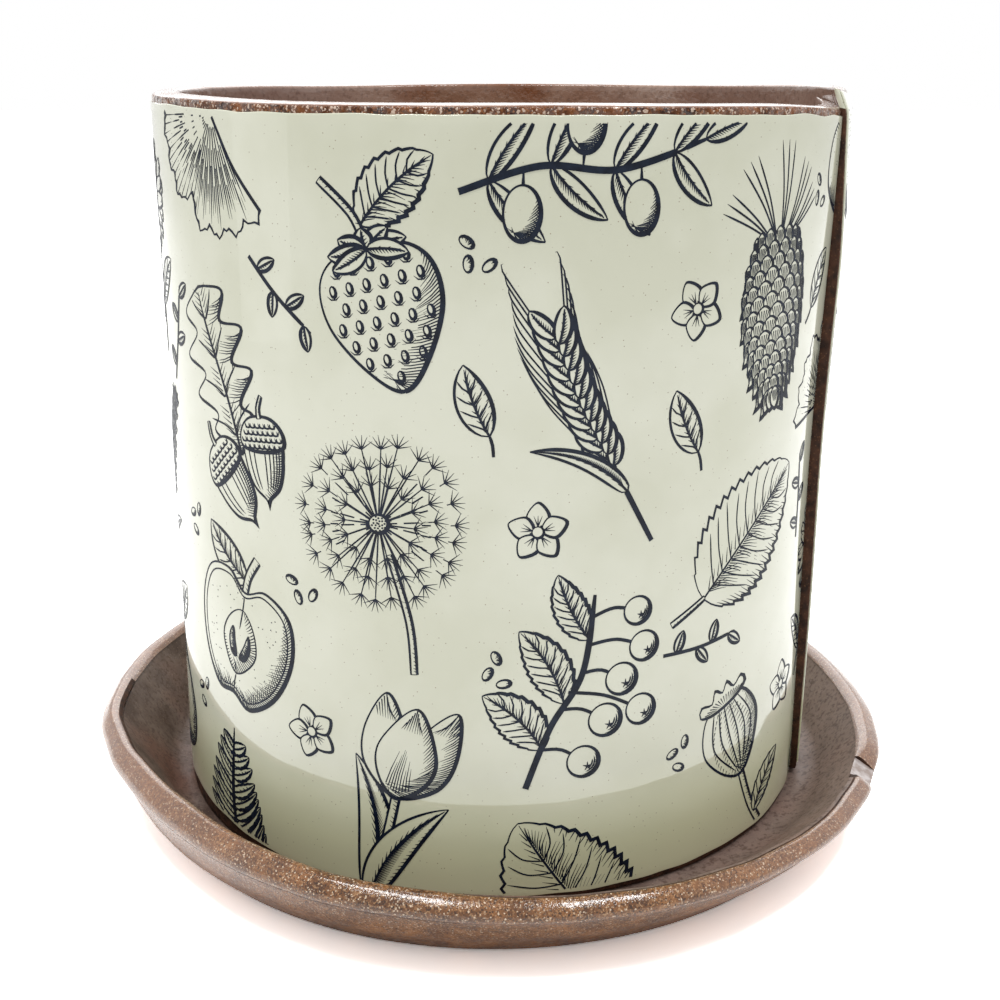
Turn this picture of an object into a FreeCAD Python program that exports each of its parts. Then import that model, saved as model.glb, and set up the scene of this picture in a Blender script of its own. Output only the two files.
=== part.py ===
import FreeCAD, Part
import math
import os

import Sketcher

# Slab-built planter standing in its drip saucer, in millimetres and degrees.
# +Z is up, -Y is the front, and the origin is the middle of the saucer's underside.
# Angles in plan are turned from +X towards +Y.
SIZES = [
    # The saucer's dish: a flat floor with a side that flares out
    ("dish_thickness", 5.5),
    ("pot_clearance", 0.4),
    ("dish_side_length", 15.2),
    ("dish_side_angle", 54),
    ("dish_corner_round", 2.4),
    ("dish_foot_round", 1.5),
    # The strip along the dish's cut edge
    ("strip_thickness", 1.8),
    ("strip_overhang", 0.6),
    ("strip_round", 1.2),
    ("strip_gap_angle", 9),
    ("strip_gap_middle_angle", -27),
    # The pot's wall, rolled from a slab with one end lapped over the other
    ("pot_radius", 69.6),
    ("pot_height", 147),
    ("wall_thickness", 5),
    ("lap_rise", 2.4),
    ("lap_end_angle", -19),
    ("lap_inner_angle", 2),
    ("lap_start_angle", 55),
    ("rim_round", 1.1),
    ("foot_bevel", 0.9),
    # The pale coat on the outside of the wall
    ("coat_thickness", 0.4),
    ("coat_above_foot", 2),
    ("coat_below_rim", 1.8),
    # The pot's floor and the coil in its corner
    ("floor_thickness", 6),
    ("drain_radius", 6.5),
    ("coil_height", 7),
    ("coil_hollow", 1.5),
]

# Sizes that follow from the ones above, as formulas of the same sheet
DERIVED_SIZES = [
    ("lap_radius", "=pot_radius + lap_rise + coat_thickness"),
    ("dish_flat_radius", "=lap_radius + pot_clearance"),
    ("dish_floor_radius", "=dish_flat_radius + dish_corner_round * tan(dish_side_angle / 2)"),
    ("dish_top_radius", "=dish_floor_radius + dish_side_length * cos(dish_side_angle)"),
    ("dish_top_height", "=dish_thickness + dish_side_length * sin(dish_side_angle)"),
    ("dish_edge_radius", "=dish_top_radius + dish_thickness * sin(dish_side_angle)"),
    ("dish_edge_height", "=dish_top_height - dish_thickness * cos(dish_side_angle)"),
    ("dish_foot_radius", "=dish_edge_radius - dish_edge_height / tan(dish_side_angle)"),
    ("strip_inner_radius", "=dish_top_radius - strip_overhang * sin(dish_side_angle)"),
    ("strip_inner_height", "=dish_top_height + strip_overhang * cos(dish_side_angle)"),
    ("strip_top_radius", "=strip_inner_radius + strip_thickness * cos(dish_side_angle)"),
    ("strip_top_height", "=strip_inner_height + strip_thickness * sin(dish_side_angle)"),
    ("strip_edge_radius", "=dish_edge_radius + strip_thickness * cos(dish_side_angle)"),
    ("strip_edge_height", "=dish_edge_height + strip_thickness * sin(dish_side_angle)"),
    ("strip_turn_angle", "=360 - strip_gap_angle"),
    ("strip_start_angle", "=strip_gap_middle_angle + strip_gap_angle / 2"),
    ("inner_radius", "=pot_radius - wall_thickness"),
    ("coat_radius", "=pot_radius + coat_thickness"),
    ("coat_height", "=pot_height - coat_above_foot - coat_below_rim"),
    ("coil_top", "=floor_thickness + coil_height"),
    ("coil_inner_radius", "=inner_radius - coil_height"),
    ("coil_hollow_radius", "=coil_height ^ 2 / (4 * coil_hollow) + coil_hollow / 2"),
]

# Numbers by which a constraint refers to the points of a line or arc, and to the sketch's axes
START, END, CENTRE = range(1, 4)
X_AXIS, Y_AXIS = range(-1, -3, -1)
ORIGIN_POINT = (X_AXIS, START)

UP = FreeCAD.Vector(0, 0, 1)
FULL_ANGLE = 360
SAME_PLACE = 1e-6

doc = FreeCAD.newDocument("planter")
sheet = doc.addObject("Spreadsheet::Sheet", "Sizes")
for row, (alias, content) in enumerate(SIZES + DERIVED_SIZES, start=1):
    sheet.set("A%d" % row, alias)
    sheet.set("B%d" % row, str(content))
    sheet.setAlias("B%d" % row, alias)
doc.recompute()


def size(alias):
    """The value of a named size."""
    return float(sheet.get(alias))


def bind(item, path, alias):
    """Tie a property of an object to a named size."""
    item.setExpression(path, "Sizes." + alias)


def polar(radius, angle):
    """The point of the plan at a radius and an angle."""
    turn = math.radians(angle)
    return FreeCAD.Vector(radius * math.cos(turn), radius * math.sin(turn), 0)


def new_body(label):
    """A body for one piece of the planter."""
    body = doc.addObject("PartDesign::Body", label)
    body.Label = label
    return body


def new_sketch(body, name, role):
    """A sketch on one of its body's own origin planes."""
    sketch = body.newObject("Sketcher::SketchObject", name)
    plane = [item for item in body.Origin.OriginFeatures if item.Role == role][0]
    sketch.AttachmentSupport = [(plane, "")]
    sketch.MapMode = "FlatFace"
    return sketch


def constrain(sketch, kind, *places):
    """A constraint that has no size."""
    sketch.addConstraint(Sketcher.Constraint(kind, *places))


def dimension(sketch, kind, places, alias):
    """A constraint whose value is a named size."""
    value = size(alias)
    if kind == "Angle":
        value = math.radians(value)
    index = sketch.addConstraint(Sketcher.Constraint(kind, *places, value))
    bind(sketch, "Constraints[%d]" % index, alias)


def place_point(sketch, point, corner):
    """Put a point at two named sizes from the origin, where None stands for zero."""
    across, up = corner
    if corner == (None, None):
        constrain(sketch, "Coincident", *point, *ORIGIN_POINT)
        return
    if across is None:
        constrain(sketch, "PointOnObject", *point, Y_AXIS)
    else:
        dimension(sketch, "DistanceX", (*ORIGIN_POINT, *point), across)
    if up is None:
        constrain(sketch, "PointOnObject", *point, X_AXIS)
    else:
        dimension(sketch, "DistanceY", (*ORIGIN_POINT, *point), up)


def corner_point(corner):
    """The place of a corner that is given as two named sizes."""
    across, up = corner
    return FreeCAD.Vector(size(across) if across else 0, size(up) if up else 0, 0)


def straight_sides(sketch, corners):
    """Straight sides from corner to corner, each corner held at its place."""
    sides = []
    for start, end in zip(corners, corners[1:]):
        side = sketch.addGeometry(Part.LineSegment(corner_point(start), corner_point(end)))
        place_point(sketch, (side, START), start)
        if sides:
            constrain(sketch, "Coincident", sides[-1], END, side, START)
        sides.append(side)
    return sides


def closed_outline(sketch, corners):
    """A closed outline with straight sides."""
    sides = straight_sides(sketch, corners + corners[:1])
    constrain(sketch, "Coincident", sides[-1], END, sides[0], START)


def pad(body, sketch, height):
    """Raise a sketch to a named height."""
    feature = body.newObject("PartDesign::Pad", sketch.Name + "_pad")
    feature.Profile = sketch
    bind(feature, "Length", height)
    return feature


def revolve(body, sketch, turn=None):
    """Turn a sketch about the upright axis, all the way or by a named angle."""
    feature = body.newObject("PartDesign::Revolution", sketch.Name + "_turn")
    feature.Profile = sketch
    feature.ReferenceAxis = (sketch, ["V_Axis"])
    feature.Angle = FULL_ANGLE
    if turn:
        bind(feature, "Angle", turn)
    return feature


def dress_edges(body, kind, path, alias, chosen):
    """Fillet or chamfer those edges of the body that a test picks."""
    doc.recompute()
    base = body.Tip
    names = []
    for number, edge in enumerate(base.Shape.Edges, start=1):
        if chosen(edge):
            names.append("Edge%d" % number)
    feature = body.newObject("PartDesign::" + kind, body.Name + "_" + alias)
    feature.Base = (base, names)
    bind(feature, path, alias)
    body.Tip = feature


def ring_at(radius, height):
    """A test for level arcs about the upright axis at a named radius and height."""
    level = size(height) if height else 0

    def chosen(edge):
        if not isinstance(edge.Curve, Part.Circle):
            return False
        same_level = math.isclose(edge.Curve.Center.z, level, abs_tol=SAME_PLACE)
        return same_level and math.isclose(edge.Curve.Radius, size(radius), abs_tol=SAME_PLACE)

    return chosen


def arc_at(height):
    """A test for level arcs of any centre at a named height."""
    level = size(height)

    def chosen(edge):
        round_edge = isinstance(edge.Curve, Part.Circle)
        return round_edge and math.isclose(edge.Curve.Center.z, level, abs_tol=SAME_PLACE)

    return chosen


def lap_shift():
    """How far the lapped end's centre lies from the pot's axis, so that it leaves the round smoothly."""
    radius = size("pot_radius")
    raised = radius + size("lap_rise")
    spread = math.radians(size("lap_start_angle") - size("lap_end_angle"))
    return (raised ** 2 - radius ** 2) / (2 * (radius - raised * math.cos(spread)))


def lap_end_radius(radius, end_angle):
    """The distance from the pot's axis at which a lapped face crosses the ray at an angle."""
    spread = math.radians(size("lap_start_angle") - end_angle)
    shift = lap_shift()
    return math.sqrt((radius + shift) ** 2 - (shift * math.sin(spread)) ** 2) - shift * math.cos(spread)


def lapped_face(sketch, radius_alias, end_alias, guide, leader=None, real=True):
    """One face of the wall in plan: the round part, and the lapped part that leaves it at the guide.

    The first face of a sketch leads: it is tangent where it leaves. The others share its centre.
    """
    radius = size(radius_alias)
    start_angle = size("lap_start_angle")
    end_angle = size(end_alias)
    centre = polar(-lap_shift(), start_angle)
    arm = polar(lap_end_radius(radius, end_angle), end_angle) - centre
    round_circle = Part.Circle(FreeCAD.Vector(), UP, radius)
    lap_circle = Part.Circle(centre, UP, radius + lap_shift())
    leave = math.radians(start_angle)
    round_end = math.radians(end_angle + FULL_ANGLE)
    round_arc = Part.ArcOfCircle(round_circle, leave, round_end)
    lap_arc = Part.ArcOfCircle(lap_circle, math.atan2(arm.y, arm.x), leave)
    round_part = sketch.addGeometry(round_arc, not real)
    lap_part = sketch.addGeometry(lap_arc, not real)
    constrain(sketch, "Coincident", round_part, CENTRE, *ORIGIN_POINT)
    dimension(sketch, "Radius", (round_part,), radius_alias)
    if leader is None:
        constrain(sketch, "Coincident", guide, END, round_part, START)
        constrain(sketch, "Tangent", round_part, START, lap_part, END)
    else:
        constrain(sketch, "PointOnObject", round_part, START, guide)
        constrain(sketch, "Coincident", round_part, START, lap_part, END)
        constrain(sketch, "Coincident", lap_part, CENTRE, leader, CENTRE)
    return round_part, lap_part


def radial_side(sketch, first, second, real=True):
    """A straight side between two points of the sketch."""
    places = [sketch.getPoint(*first), sketch.getPoint(*second)]
    side = sketch.addGeometry(Part.LineSegment(*places), not real)
    constrain(sketch, "Coincident", side, START, *first)
    constrain(sketch, "Coincident", side, END, *second)
    return side


def clay_face(sketch, faces_real, end_real):
    """The outside of the clay wall in plan, with the cut end of its lap."""
    guide_line = Part.LineSegment(FreeCAD.Vector(), polar(size("pot_radius"), size("lap_start_angle")))
    guide = sketch.addGeometry(guide_line, True)
    constrain(sketch, "Coincident", guide, START, *ORIGIN_POINT)
    dimension(sketch, "Angle", (guide,), "lap_start_angle")
    round_part, lap_part = lapped_face(sketch, "pot_radius", "lap_end_angle", guide, real=faces_real)
    cut_end = radial_side(sketch, (round_part, END), (lap_part, START), end_real)
    constrain(sketch, "PointOnObject", *ORIGIN_POINT, cut_end)
    dimension(sketch, "Angle", (cut_end,), "lap_end_angle")
    dimension(sketch, "Distance", (cut_end,), "lap_rise")
    return guide, round_part, lap_part, cut_end


def inside_face(sketch, guide, leader):
    """The inside of the clay wall in plan, with the step at the end that lies underneath."""
    round_part, lap_part = lapped_face(sketch, "inner_radius", "lap_inner_angle", guide, leader)
    step = radial_side(sketch, (round_part, END), (lap_part, START))
    constrain(sketch, "PointOnObject", *ORIGIN_POINT, step)
    dimension(sketch, "Angle", (step,), "lap_inner_angle")


def make_saucer_dish():
    """The slab dish: flat floor, flared side, edge cut square to the side."""
    body = new_body("saucer_dish")
    sketch = new_sketch(body, "dish_section", "XZ_Plane")
    corners = [
        (None, None),
        ("dish_foot_radius", None),
        ("dish_edge_radius", "dish_edge_height"),
        ("dish_top_radius", "dish_top_height"),
        ("dish_floor_radius", "dish_thickness"),
        (None, "dish_thickness"),
    ]
    closed_outline(sketch, corners)
    revolve(body, sketch)
    inner_corner = ring_at("dish_floor_radius", "dish_thickness")
    dress_edges(body, "Fillet", "Radius", "dish_corner_round", inner_corner)
    foot_edge = ring_at("dish_foot_radius", None)
    dress_edges(body, "Fillet", "Radius", "dish_foot_round", foot_edge)
    return body


def make_saucer_rim():
    """The strip along the dish's edge, with a gap between its ends."""
    body = new_body("saucer_rim")
    sketch = new_sketch(body, "strip_section", "XZ_Plane")
    corners = [
        ("dish_edge_radius", "dish_edge_height"),
        ("strip_edge_radius", "strip_edge_height"),
        ("strip_top_radius", "strip_top_height"),
        ("strip_inner_radius", "strip_inner_height"),
    ]
    closed_outline(sketch, corners)
    revolve(body, sketch, "strip_turn_angle")
    outer_edge = ring_at("strip_edge_radius", "strip_edge_height")
    top_edge = ring_at("strip_top_radius", "strip_top_height")
    dress_edges(body, "Fillet", "Radius", "strip_round", lambda edge: outer_edge(edge) or top_edge(edge))
    body.Placement.Rotation = FreeCAD.Rotation(UP, size("strip_start_angle"))
    bind(body, "Placement.Rotation.Angle", "strip_start_angle")
    return body


def make_wall_slab():
    """The rolled slab, with its rounded rim and bevelled foot."""
    body = new_body("wall_slab")
    sketch = new_sketch(body, "wall_plan", "XY_Plane")
    guide, clay_round, clay_lap, cut_end = clay_face(sketch, faces_real=True, end_real=True)
    inside_face(sketch, guide, clay_lap)
    pad(body, sketch, "pot_height")
    dress_edges(body, "Fillet", "Radius", "rim_round", arc_at("pot_height"))
    foot_edge = ring_at("pot_radius", None)
    dress_edges(body, "Chamfer", "Size", "foot_bevel", foot_edge)
    bind(body, "Placement.Base.z", "dish_thickness")
    return body


def make_slip_coat():
    """The pale coat, which follows the outside of the wall from one side of the lap to the other."""
    body = new_body("slip_coat")
    sketch = new_sketch(body, "coat_plan", "XY_Plane")
    bind(sketch, "AttachmentOffset.Base.z", "coat_above_foot")
    guide, clay_round, clay_lap, cut_end = clay_face(sketch, faces_real=True, end_real=False)
    coat_round, coat_lap = lapped_face(sketch, "coat_radius", "lap_end_angle", guide, clay_lap)
    constrain(sketch, "PointOnObject", coat_round, END, cut_end)
    constrain(sketch, "PointOnObject", coat_lap, START, cut_end)
    radial_side(sketch, (clay_round, END), (coat_round, END))
    radial_side(sketch, (clay_lap, START), (coat_lap, START))
    pad(body, sketch, "coat_height")
    bind(body, "Placement.Base.z", "dish_thickness")
    return body


def make_pot_floor():
    """The disc inside the foot of the wall, with its drain hole."""
    body = new_body("pot_floor")
    sketch = new_sketch(body, "floor_plan", "XY_Plane")
    guide, clay_round, clay_lap, cut_end = clay_face(sketch, faces_real=False, end_real=False)
    inside_face(sketch, guide, clay_lap)
    drain = sketch.addGeometry(Part.Circle(FreeCAD.Vector(), UP, size("drain_radius")))
    constrain(sketch, "Coincident", drain, CENTRE, *ORIGIN_POINT)
    dimension(sketch, "Radius", (drain,), "drain_radius")
    pad(body, sketch, "floor_thickness")
    bind(body, "Placement.Base.z", "dish_thickness")
    return body


def make_floor_coil():
    """The coil in the corner of wall and floor, pressed hollow with a finger."""
    body = new_body("floor_coil")
    sketch = new_sketch(body, "coil_section", "XZ_Plane")
    floor_end = ("coil_inner_radius", "floor_thickness")
    corner = ("inner_radius", "floor_thickness")
    wall_end = ("inner_radius", "coil_top")
    sides = straight_sides(sketch, [floor_end, corner, wall_end])
    place_point(sketch, (sides[-1], END), wall_end)
    toward_corner = FreeCAD.Vector(1, -1, 0).normalize()
    middle = (corner_point(floor_end) + corner_point(wall_end)) / 2
    hollow_middle = middle + toward_corner * size("coil_hollow")
    hollow_arc = Part.Arc(corner_point(floor_end), hollow_middle, corner_point(wall_end))
    hollow = sketch.addGeometry(hollow_arc)
    constrain(sketch, "Coincident", hollow, START, sides[0], START)
    constrain(sketch, "Coincident", hollow, END, sides[-1], END)
    dimension(sketch, "Radius", (hollow,), "coil_hollow_radius")
    revolve(body, sketch)
    bind(body, "Placement.Base.z", "dish_thickness")
    return body


pieces = [
    make_saucer_dish(),
    make_saucer_rim(),
    make_wall_slab(),
    make_slip_coat(),
    make_pot_floor(),
    make_floor_coil(),
]
doc.recompute()

# Nothing is written unless every object worked out and every piece is one sound solid
for item in doc.Objects:
    if "Invalid" in item.State or "Error" in item.State:
        raise RuntimeError("%s did not work out" % item.Name)
for piece in pieces:
    if piece.Shape.isNull() or not piece.Shape.isValid() or len(piece.Shape.Solids) != 1:
        raise RuntimeError("%s is not one sound solid" % piece.Label)

os.makedirs("parts", exist_ok=True)
for piece in pieces:
    piece.Shape.exportStep("parts/%s.step" % piece.Label)
    print(piece.Label, "volume", round(piece.Shape.Volume))
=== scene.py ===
import cmath
import math
import random

import bpy
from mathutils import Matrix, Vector, noise


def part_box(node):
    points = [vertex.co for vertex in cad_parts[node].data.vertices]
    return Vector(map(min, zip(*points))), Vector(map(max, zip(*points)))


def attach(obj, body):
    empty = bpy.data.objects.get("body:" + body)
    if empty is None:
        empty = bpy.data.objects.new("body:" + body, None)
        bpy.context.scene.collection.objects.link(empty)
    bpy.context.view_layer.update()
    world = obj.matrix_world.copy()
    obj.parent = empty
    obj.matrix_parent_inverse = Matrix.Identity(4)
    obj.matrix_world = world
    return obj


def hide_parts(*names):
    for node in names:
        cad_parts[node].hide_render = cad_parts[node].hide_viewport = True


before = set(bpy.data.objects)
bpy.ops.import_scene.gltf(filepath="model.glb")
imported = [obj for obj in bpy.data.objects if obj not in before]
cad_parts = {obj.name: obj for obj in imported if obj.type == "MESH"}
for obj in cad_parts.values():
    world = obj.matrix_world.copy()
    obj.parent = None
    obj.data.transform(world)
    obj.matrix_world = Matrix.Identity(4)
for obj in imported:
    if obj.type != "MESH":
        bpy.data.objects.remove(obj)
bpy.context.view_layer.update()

MM = 0.001

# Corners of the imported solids, in metres
wall_low, wall_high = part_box("wall_slab")
coat_low, coat_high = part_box("slip_coat")
base_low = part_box("pot_floor")[0]
dish_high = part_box("saucer_dish")[1]

# The pot's own sizes; its floor meets the wall on the left, away from the lap
POT_RADIUS = -wall_low.x
WALL = POT_RADIUS + base_low.x
COAT = -coat_low.x - POT_RADIUS
POT_FOOT = wall_low.z
POT_RIM = wall_high.z
ONE_TURN = math.tau * POT_RADIUS

# The rolled slab's lap, in degrees from the front towards the right, and how far its flap stands out
FLAP_END_TURN = 71
INNER_END_TURN = 92
FLAP_LEAVES_TURN = 145
LAP_RISE = 2.4 * MM
JOINT_GAP = 0.02 * MM

# How far the flap's cut leans, and by what share its rise tapers near rim and foot
FLAP_LEAN = 8.5 * MM
FLAP_LEAN_REACH = 32 * MM
FLAP_TOP_TAPER = 0.55
FLAP_TOP_REACH = 34 * MM
FLAP_FOOT_TAPER = 0.25
FLAP_FOOT_REACH = 60 * MM

# How the flap's lower corner lifts, how its upper tip curls in, and how far down the coat covers that tip
FLAP_FOOT_LIFT = 1.3 * MM
FLAP_FOOT_CORNER = 8 * MM
FLAP_TIP_CURL = 1.6 * MM
FLAP_TIP_REACH = 20 * MM
FLAP_TIP_HEIGHT = 5 * MM
FLAP_TIP_COATED = 3.4 * MM

# How far the wall strays from true: its waist, its uneven face with waves round and up the pot, and its lean
# about a height given as a share, which is stronger above another
WAIST = 0.55 * MM
WALL_WOBBLE = 0.22 * MM
WALL_WAVES = 1.3
WALL_WAVES_UP = 2.5
POT_LEAN = 1.3 * MM
LEAN_ABOUT = 0.65
TOP_LEAN = 0.8 * MM
TOP_LEAN_FROM = 0.5
TOP_OVAL = 0.45 * MM

# How far the rim strays from level and down to where the wall follows it, and the rim's section
RIM_WOBBLE = 0.35 * MM
RIM_WAVES = 1.8
RIM_WAVES_LEVEL = 4.2
RIM_RISE = 0.5 * MM
RIM_REACH = 30 * MM
FOOT_REACH = 20 * MM
RIM_ROUND = 0.8 * MM
RIM_SLOPE = 0.36 * MM
RIM_SLOPE_REACH = 8 * MM

# How much thicker the wall is inside, from the pot's floor up to the top of the coil and fading above it
FOOT_THICKER = 1.1 * MM
FOOT_THICKER_TOP = 18 * MM
FOOT_THICKER_FADE = 14 * MM

# Columns and rows of the flat slab, and the rounding of its two ends
SLAB_CUTS = (280, 84)
SLAB_END_ROUND = 0.35 * MM

# The saucer's section
DISH_FLOOR = POT_FOOT
DISH_EDGE = dish_high.x
DISH_TOP = dish_high.z
DISH_SIDE_ANGLE = math.radians(54)
DISH_THICKNESS = 5.5 * MM
DISH_SIDES = 216
DISH_FOOT_ROUND = 1.5 * MM
DISH_FLOOR_ROUND = 2.4 * MM

# The rim strip's section, its gap, and the split and groove inside it, in degrees from the front
STRIP_THICKNESS = 2.5 * MM
STRIP_OVERHANG = 0.25 * MM
STRIP_ROUND = 2.1 * MM
STRIP_GAP_TURN = 5.8
STRIP_GAP_MIDDLE_TURN = 67
STRIP_HOLLOW_SHADE_TURN = 1.7
STRIP_CRACK = 0.3 * MM
STRIP_GROOVE = 0.35 * MM
STRIP_SPLIT_TURNS = (-85, 0)
STRIP_GROOVE_TURNS = (0, 63)
STRIP_CRACK_FADE = 8

# On the strip's inner round, by slope: where the groove is pressed in, where dark raw clay is laid in the
# groove and split as painted shade, and how far up the front end's hollow is painted dark as shade
STRIP_GROOVE_SLOPES = (13, 41)
STRIP_SHADE_SLOPES = (18, 36)
STRIP_HOLLOW_SHADE_SLOPE = 54

# How the strip's front and back ends thin out: over how many degrees, and by what share outside and inside
STRIP_FRONT_END = (1.5, 0.5, 0.5)
STRIP_BACK_END = (5, 0.95, 0.5)


def start_piece():
    """Leaves edit mode and drops every selection, so that the next operator acts on the new piece alone."""
    if bpy.context.mode != "OBJECT":
        bpy.ops.object.mode_set(mode="OBJECT")
    bpy.ops.object.select_all(action="DESELECT")


def named(name):
    """The new piece under its own name, with its place and turn in its mesh."""
    piece = bpy.context.active_object
    piece.name = name
    piece.data.name = name
    bpy.ops.object.transform_apply(location=True, rotation=True, scale=True)
    return piece


def finish_with(piece, kind, **settings):
    """Adds a modifier and applies it."""
    modifier = piece.modifiers.new(kind.title(), kind)
    for setting, value in settings.items():
        setattr(modifier, setting, value)
    bpy.context.view_layer.objects.active = piece
    bpy.ops.object.modifier_apply(modifier=modifier.name)


def tidy_mesh(piece, smooth_angle=50):
    """Merges doubles, turns the faces outwards and smooths all but the sharp edges."""
    start_piece()
    piece.select_set(True)
    bpy.context.view_layer.objects.active = piece
    bpy.ops.object.mode_set(mode="EDIT")
    bpy.ops.mesh.select_all(action="SELECT")
    bpy.ops.mesh.remove_doubles(threshold=0.002 * MM)
    bpy.ops.mesh.normals_make_consistent(inside=False)
    bpy.ops.object.mode_set(mode="OBJECT")
    bpy.ops.object.shade_smooth_by_angle(angle=math.radians(smooth_angle))


def select_edges(piece, wanted):
    """In edit mode, selects the edges whose two ends satisfy a test."""
    bpy.ops.mesh.select_all(action="DESELECT")
    bpy.ops.mesh.select_mode(type="EDGE")
    bpy.ops.object.mode_set(mode="OBJECT")
    points = piece.data.vertices
    for edge in piece.data.edges:
        edge.select = wanted(*(points[i].co for i in edge.vertices))
    bpy.ops.object.mode_set(mode="EDIT")


def wear(piece, *finishes):
    """Gives a piece its finishes; the first is on all of it at the start."""
    piece.data.materials.clear()
    for finish in finishes:
        piece.data.materials.append(finish)


def paint(piece, face, finish):
    """Puts one of a piece's finishes on a face."""
    face.material_index = piece.data.materials.find(finish.name)


def share_between(value, low, high):
    """Where a value lies between two others, from 0 to 1."""
    return min(1.0, max(0.0, (value - low) / (high - low)))


def eased(share):
    """A share that leaves 0 and reaches 1 gently."""
    return share * share * (3 - 2 * share)


def along_wall(turn):
    """The place on the unrolled slab of a turn from the front, in degrees."""
    return POT_RADIUS * math.radians(turn)


FLAP_END = along_wall(FLAP_END_TURN)
UNDER_FLAP = FLAP_END + ONE_TURN
INNER_END = along_wall(INNER_END_TURN) + ONE_TURN
FLAP_LEAVES = along_wall(FLAP_LEAVES_TURN)

# Swells of the rim: how far up, the middle along the slab and the reach, for the flap's side, its corner,
# the pot's back, its left side and the end under the flap
RIM_SWELLS = (
    (1.6 * MM, FLAP_END + 25 * MM, 40 * MM), (0.4 * MM, FLAP_END, 8 * MM),
    (0.55 * MM, along_wall(180), 55 * MM), (1.0 * MM, along_wall(265), 48 * MM),
    (-1.6 * MM, UNDER_FLAP, 30 * MM),
)


def hump(x, middle, reach):
    """A soft swell along the slab, 1 at its middle."""
    return math.exp(-(((x - middle) / reach) ** 2))


def waver(turn, waves, level):
    """Smooth noise round the pot, from -1 to 1."""
    return noise.noise(Vector((waves * math.cos(turn), waves * math.sin(turn), level)))


def flap_rise(x, z):
    """How far the slab's outer face stands out where it laps over itself, less so near rim and foot."""
    rise = LAP_RISE * (1 - share_between(x, FLAP_END, FLAP_LEAVES)) ** 2
    near_rim = eased(share_between(z, POT_RIM - FLAP_TOP_REACH, POT_RIM))
    near_foot = eased(share_between(z, POT_FOOT + FLAP_FOOT_REACH, POT_FOOT))
    return rise * (1 - FLAP_TOP_TAPER * near_rim - FLAP_FOOT_TAPER * near_foot)


def lap_joint(x, z):
    """The slanting face between the flap and the end under it."""
    inner_end = INNER_END - ONE_TURN
    return share_between(x, FLAP_END, inner_end) * (flap_rise(inner_end, z) - WALL)


def outer_face(x, z):
    """How far the slab's outer face stands out of the true cylinder."""
    if x > UNDER_FLAP:
        return lap_joint(x - ONE_TURN, z) - JOINT_GAP
    return flap_rise(x, z)


def inner_face(x, z):
    """How far the slab's inner face stands out of the true cylinder."""
    if x < INNER_END - ONE_TURN:
        return lap_joint(x, z)
    near_floor = eased(share_between(z, FOOT_THICKER_TOP + FOOT_THICKER_FADE, FOOT_THICKER_TOP))
    return flap_rise(x, z) - WALL - FOOT_THICKER * near_floor


def stray(x, z):
    """How far the wall strays outwards: uneven, waisted and leaning right, with the flap's tip curled in."""
    turn = x / POT_RADIUS
    height = share_between(z, POT_FOOT, POT_RIM)
    uneven = WALL_WOBBLE * waver(turn, WALL_WAVES, WALL_WAVES_UP * height)
    waist = WAIST * math.sin(math.pi * height) ** 2
    leaning = POT_LEAN * (height - LEAN_ABOUT) + TOP_LEAN * eased(share_between(height, TOP_LEAN_FROM, 1))
    leaning = leaning * math.sin(turn) + TOP_OVAL * (height * math.sin(turn)) ** 2
    near_rim = eased(share_between(z, POT_RIM - FLAP_TIP_HEIGHT, POT_RIM))
    return uneven - waist + leaning - FLAP_TIP_CURL * hump(x, FLAP_END, FLAP_TIP_REACH) * near_rim


def lean(x, z):
    """How far the slanting cut of the flap carries the slab sideways near the lap."""
    near_flap = 1 - share_between(x, FLAP_END, FLAP_END + FLAP_LEAN_REACH)
    near_under = share_between(x, UNDER_FLAP - FLAP_LEAN_REACH, UNDER_FLAP)
    height = share_between(z, POT_FOOT, POT_RIM)
    return FLAP_LEAN * (0.5 - height) * eased(max(near_flap, near_under))


def lift(x, z):
    """How far the rim rises or sinks, and the flap's lower corner rises."""
    rise = RIM_RISE + RIM_WOBBLE * waver(x / POT_RADIUS, RIM_WAVES, RIM_WAVES_LEVEL)
    for swell_height, middle, reach in RIM_SWELLS:
        rise += swell_height * hump(x, middle, reach)
    foot_rise = FLAP_FOOT_LIFT * hump(x, FLAP_END, FLAP_FOOT_CORNER)
    near_rim = eased(share_between(z, POT_RIM - RIM_REACH, POT_RIM))
    near_foot = eased(share_between(z, POT_FOOT + FOOT_REACH, POT_FOOT))
    return rise * near_rim + foot_rise * near_foot


def roll_up(piece):
    """Gives a flat piece the slab's lap and unevenness, then bends it round the pot's axis."""
    for vertex in piece.data.vertices:
        x, y, z = vertex.co
        outer = outer_face(x, z)
        depth = max(0, y) / WALL
        out = outer + depth * (inner_face(x, z) - outer) + max(0, -y) + stray(x, z)
        vertex.co = (x + lean(x, z), -out, z + lift(x, z))
    places = [vertex.co.x for vertex in piece.data.vertices]
    turn = (max(places) - min(places)) / POT_RADIUS
    finish_with(piece, "SIMPLE_DEFORM", deform_method="BEND", deform_axis="Z", angle=turn)
    start_piece()
    piece.select_set(True)
    bpy.context.view_layer.objects.active = piece
    bpy.ops.transform.translate(value=(0, -POT_RADIUS, 0))
    bpy.ops.object.transform_apply(location=True, rotation=True, scale=True)


def flat_sheet(name, left, right, low, high, front, cuts):
    """A standing sheet that faces the front, cut into columns and rows."""
    columns, rows = cuts
    start_piece()
    bpy.ops.mesh.primitive_grid_add(
        x_subdivisions=columns, y_subdivisions=rows, size=1,
        location=((left + right) / 2, front, (low + high) / 2), rotation=(math.pi / 2, 0, 0))
    bpy.ops.transform.resize(value=(right - left, 1, high - low))
    return named(name)


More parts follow.
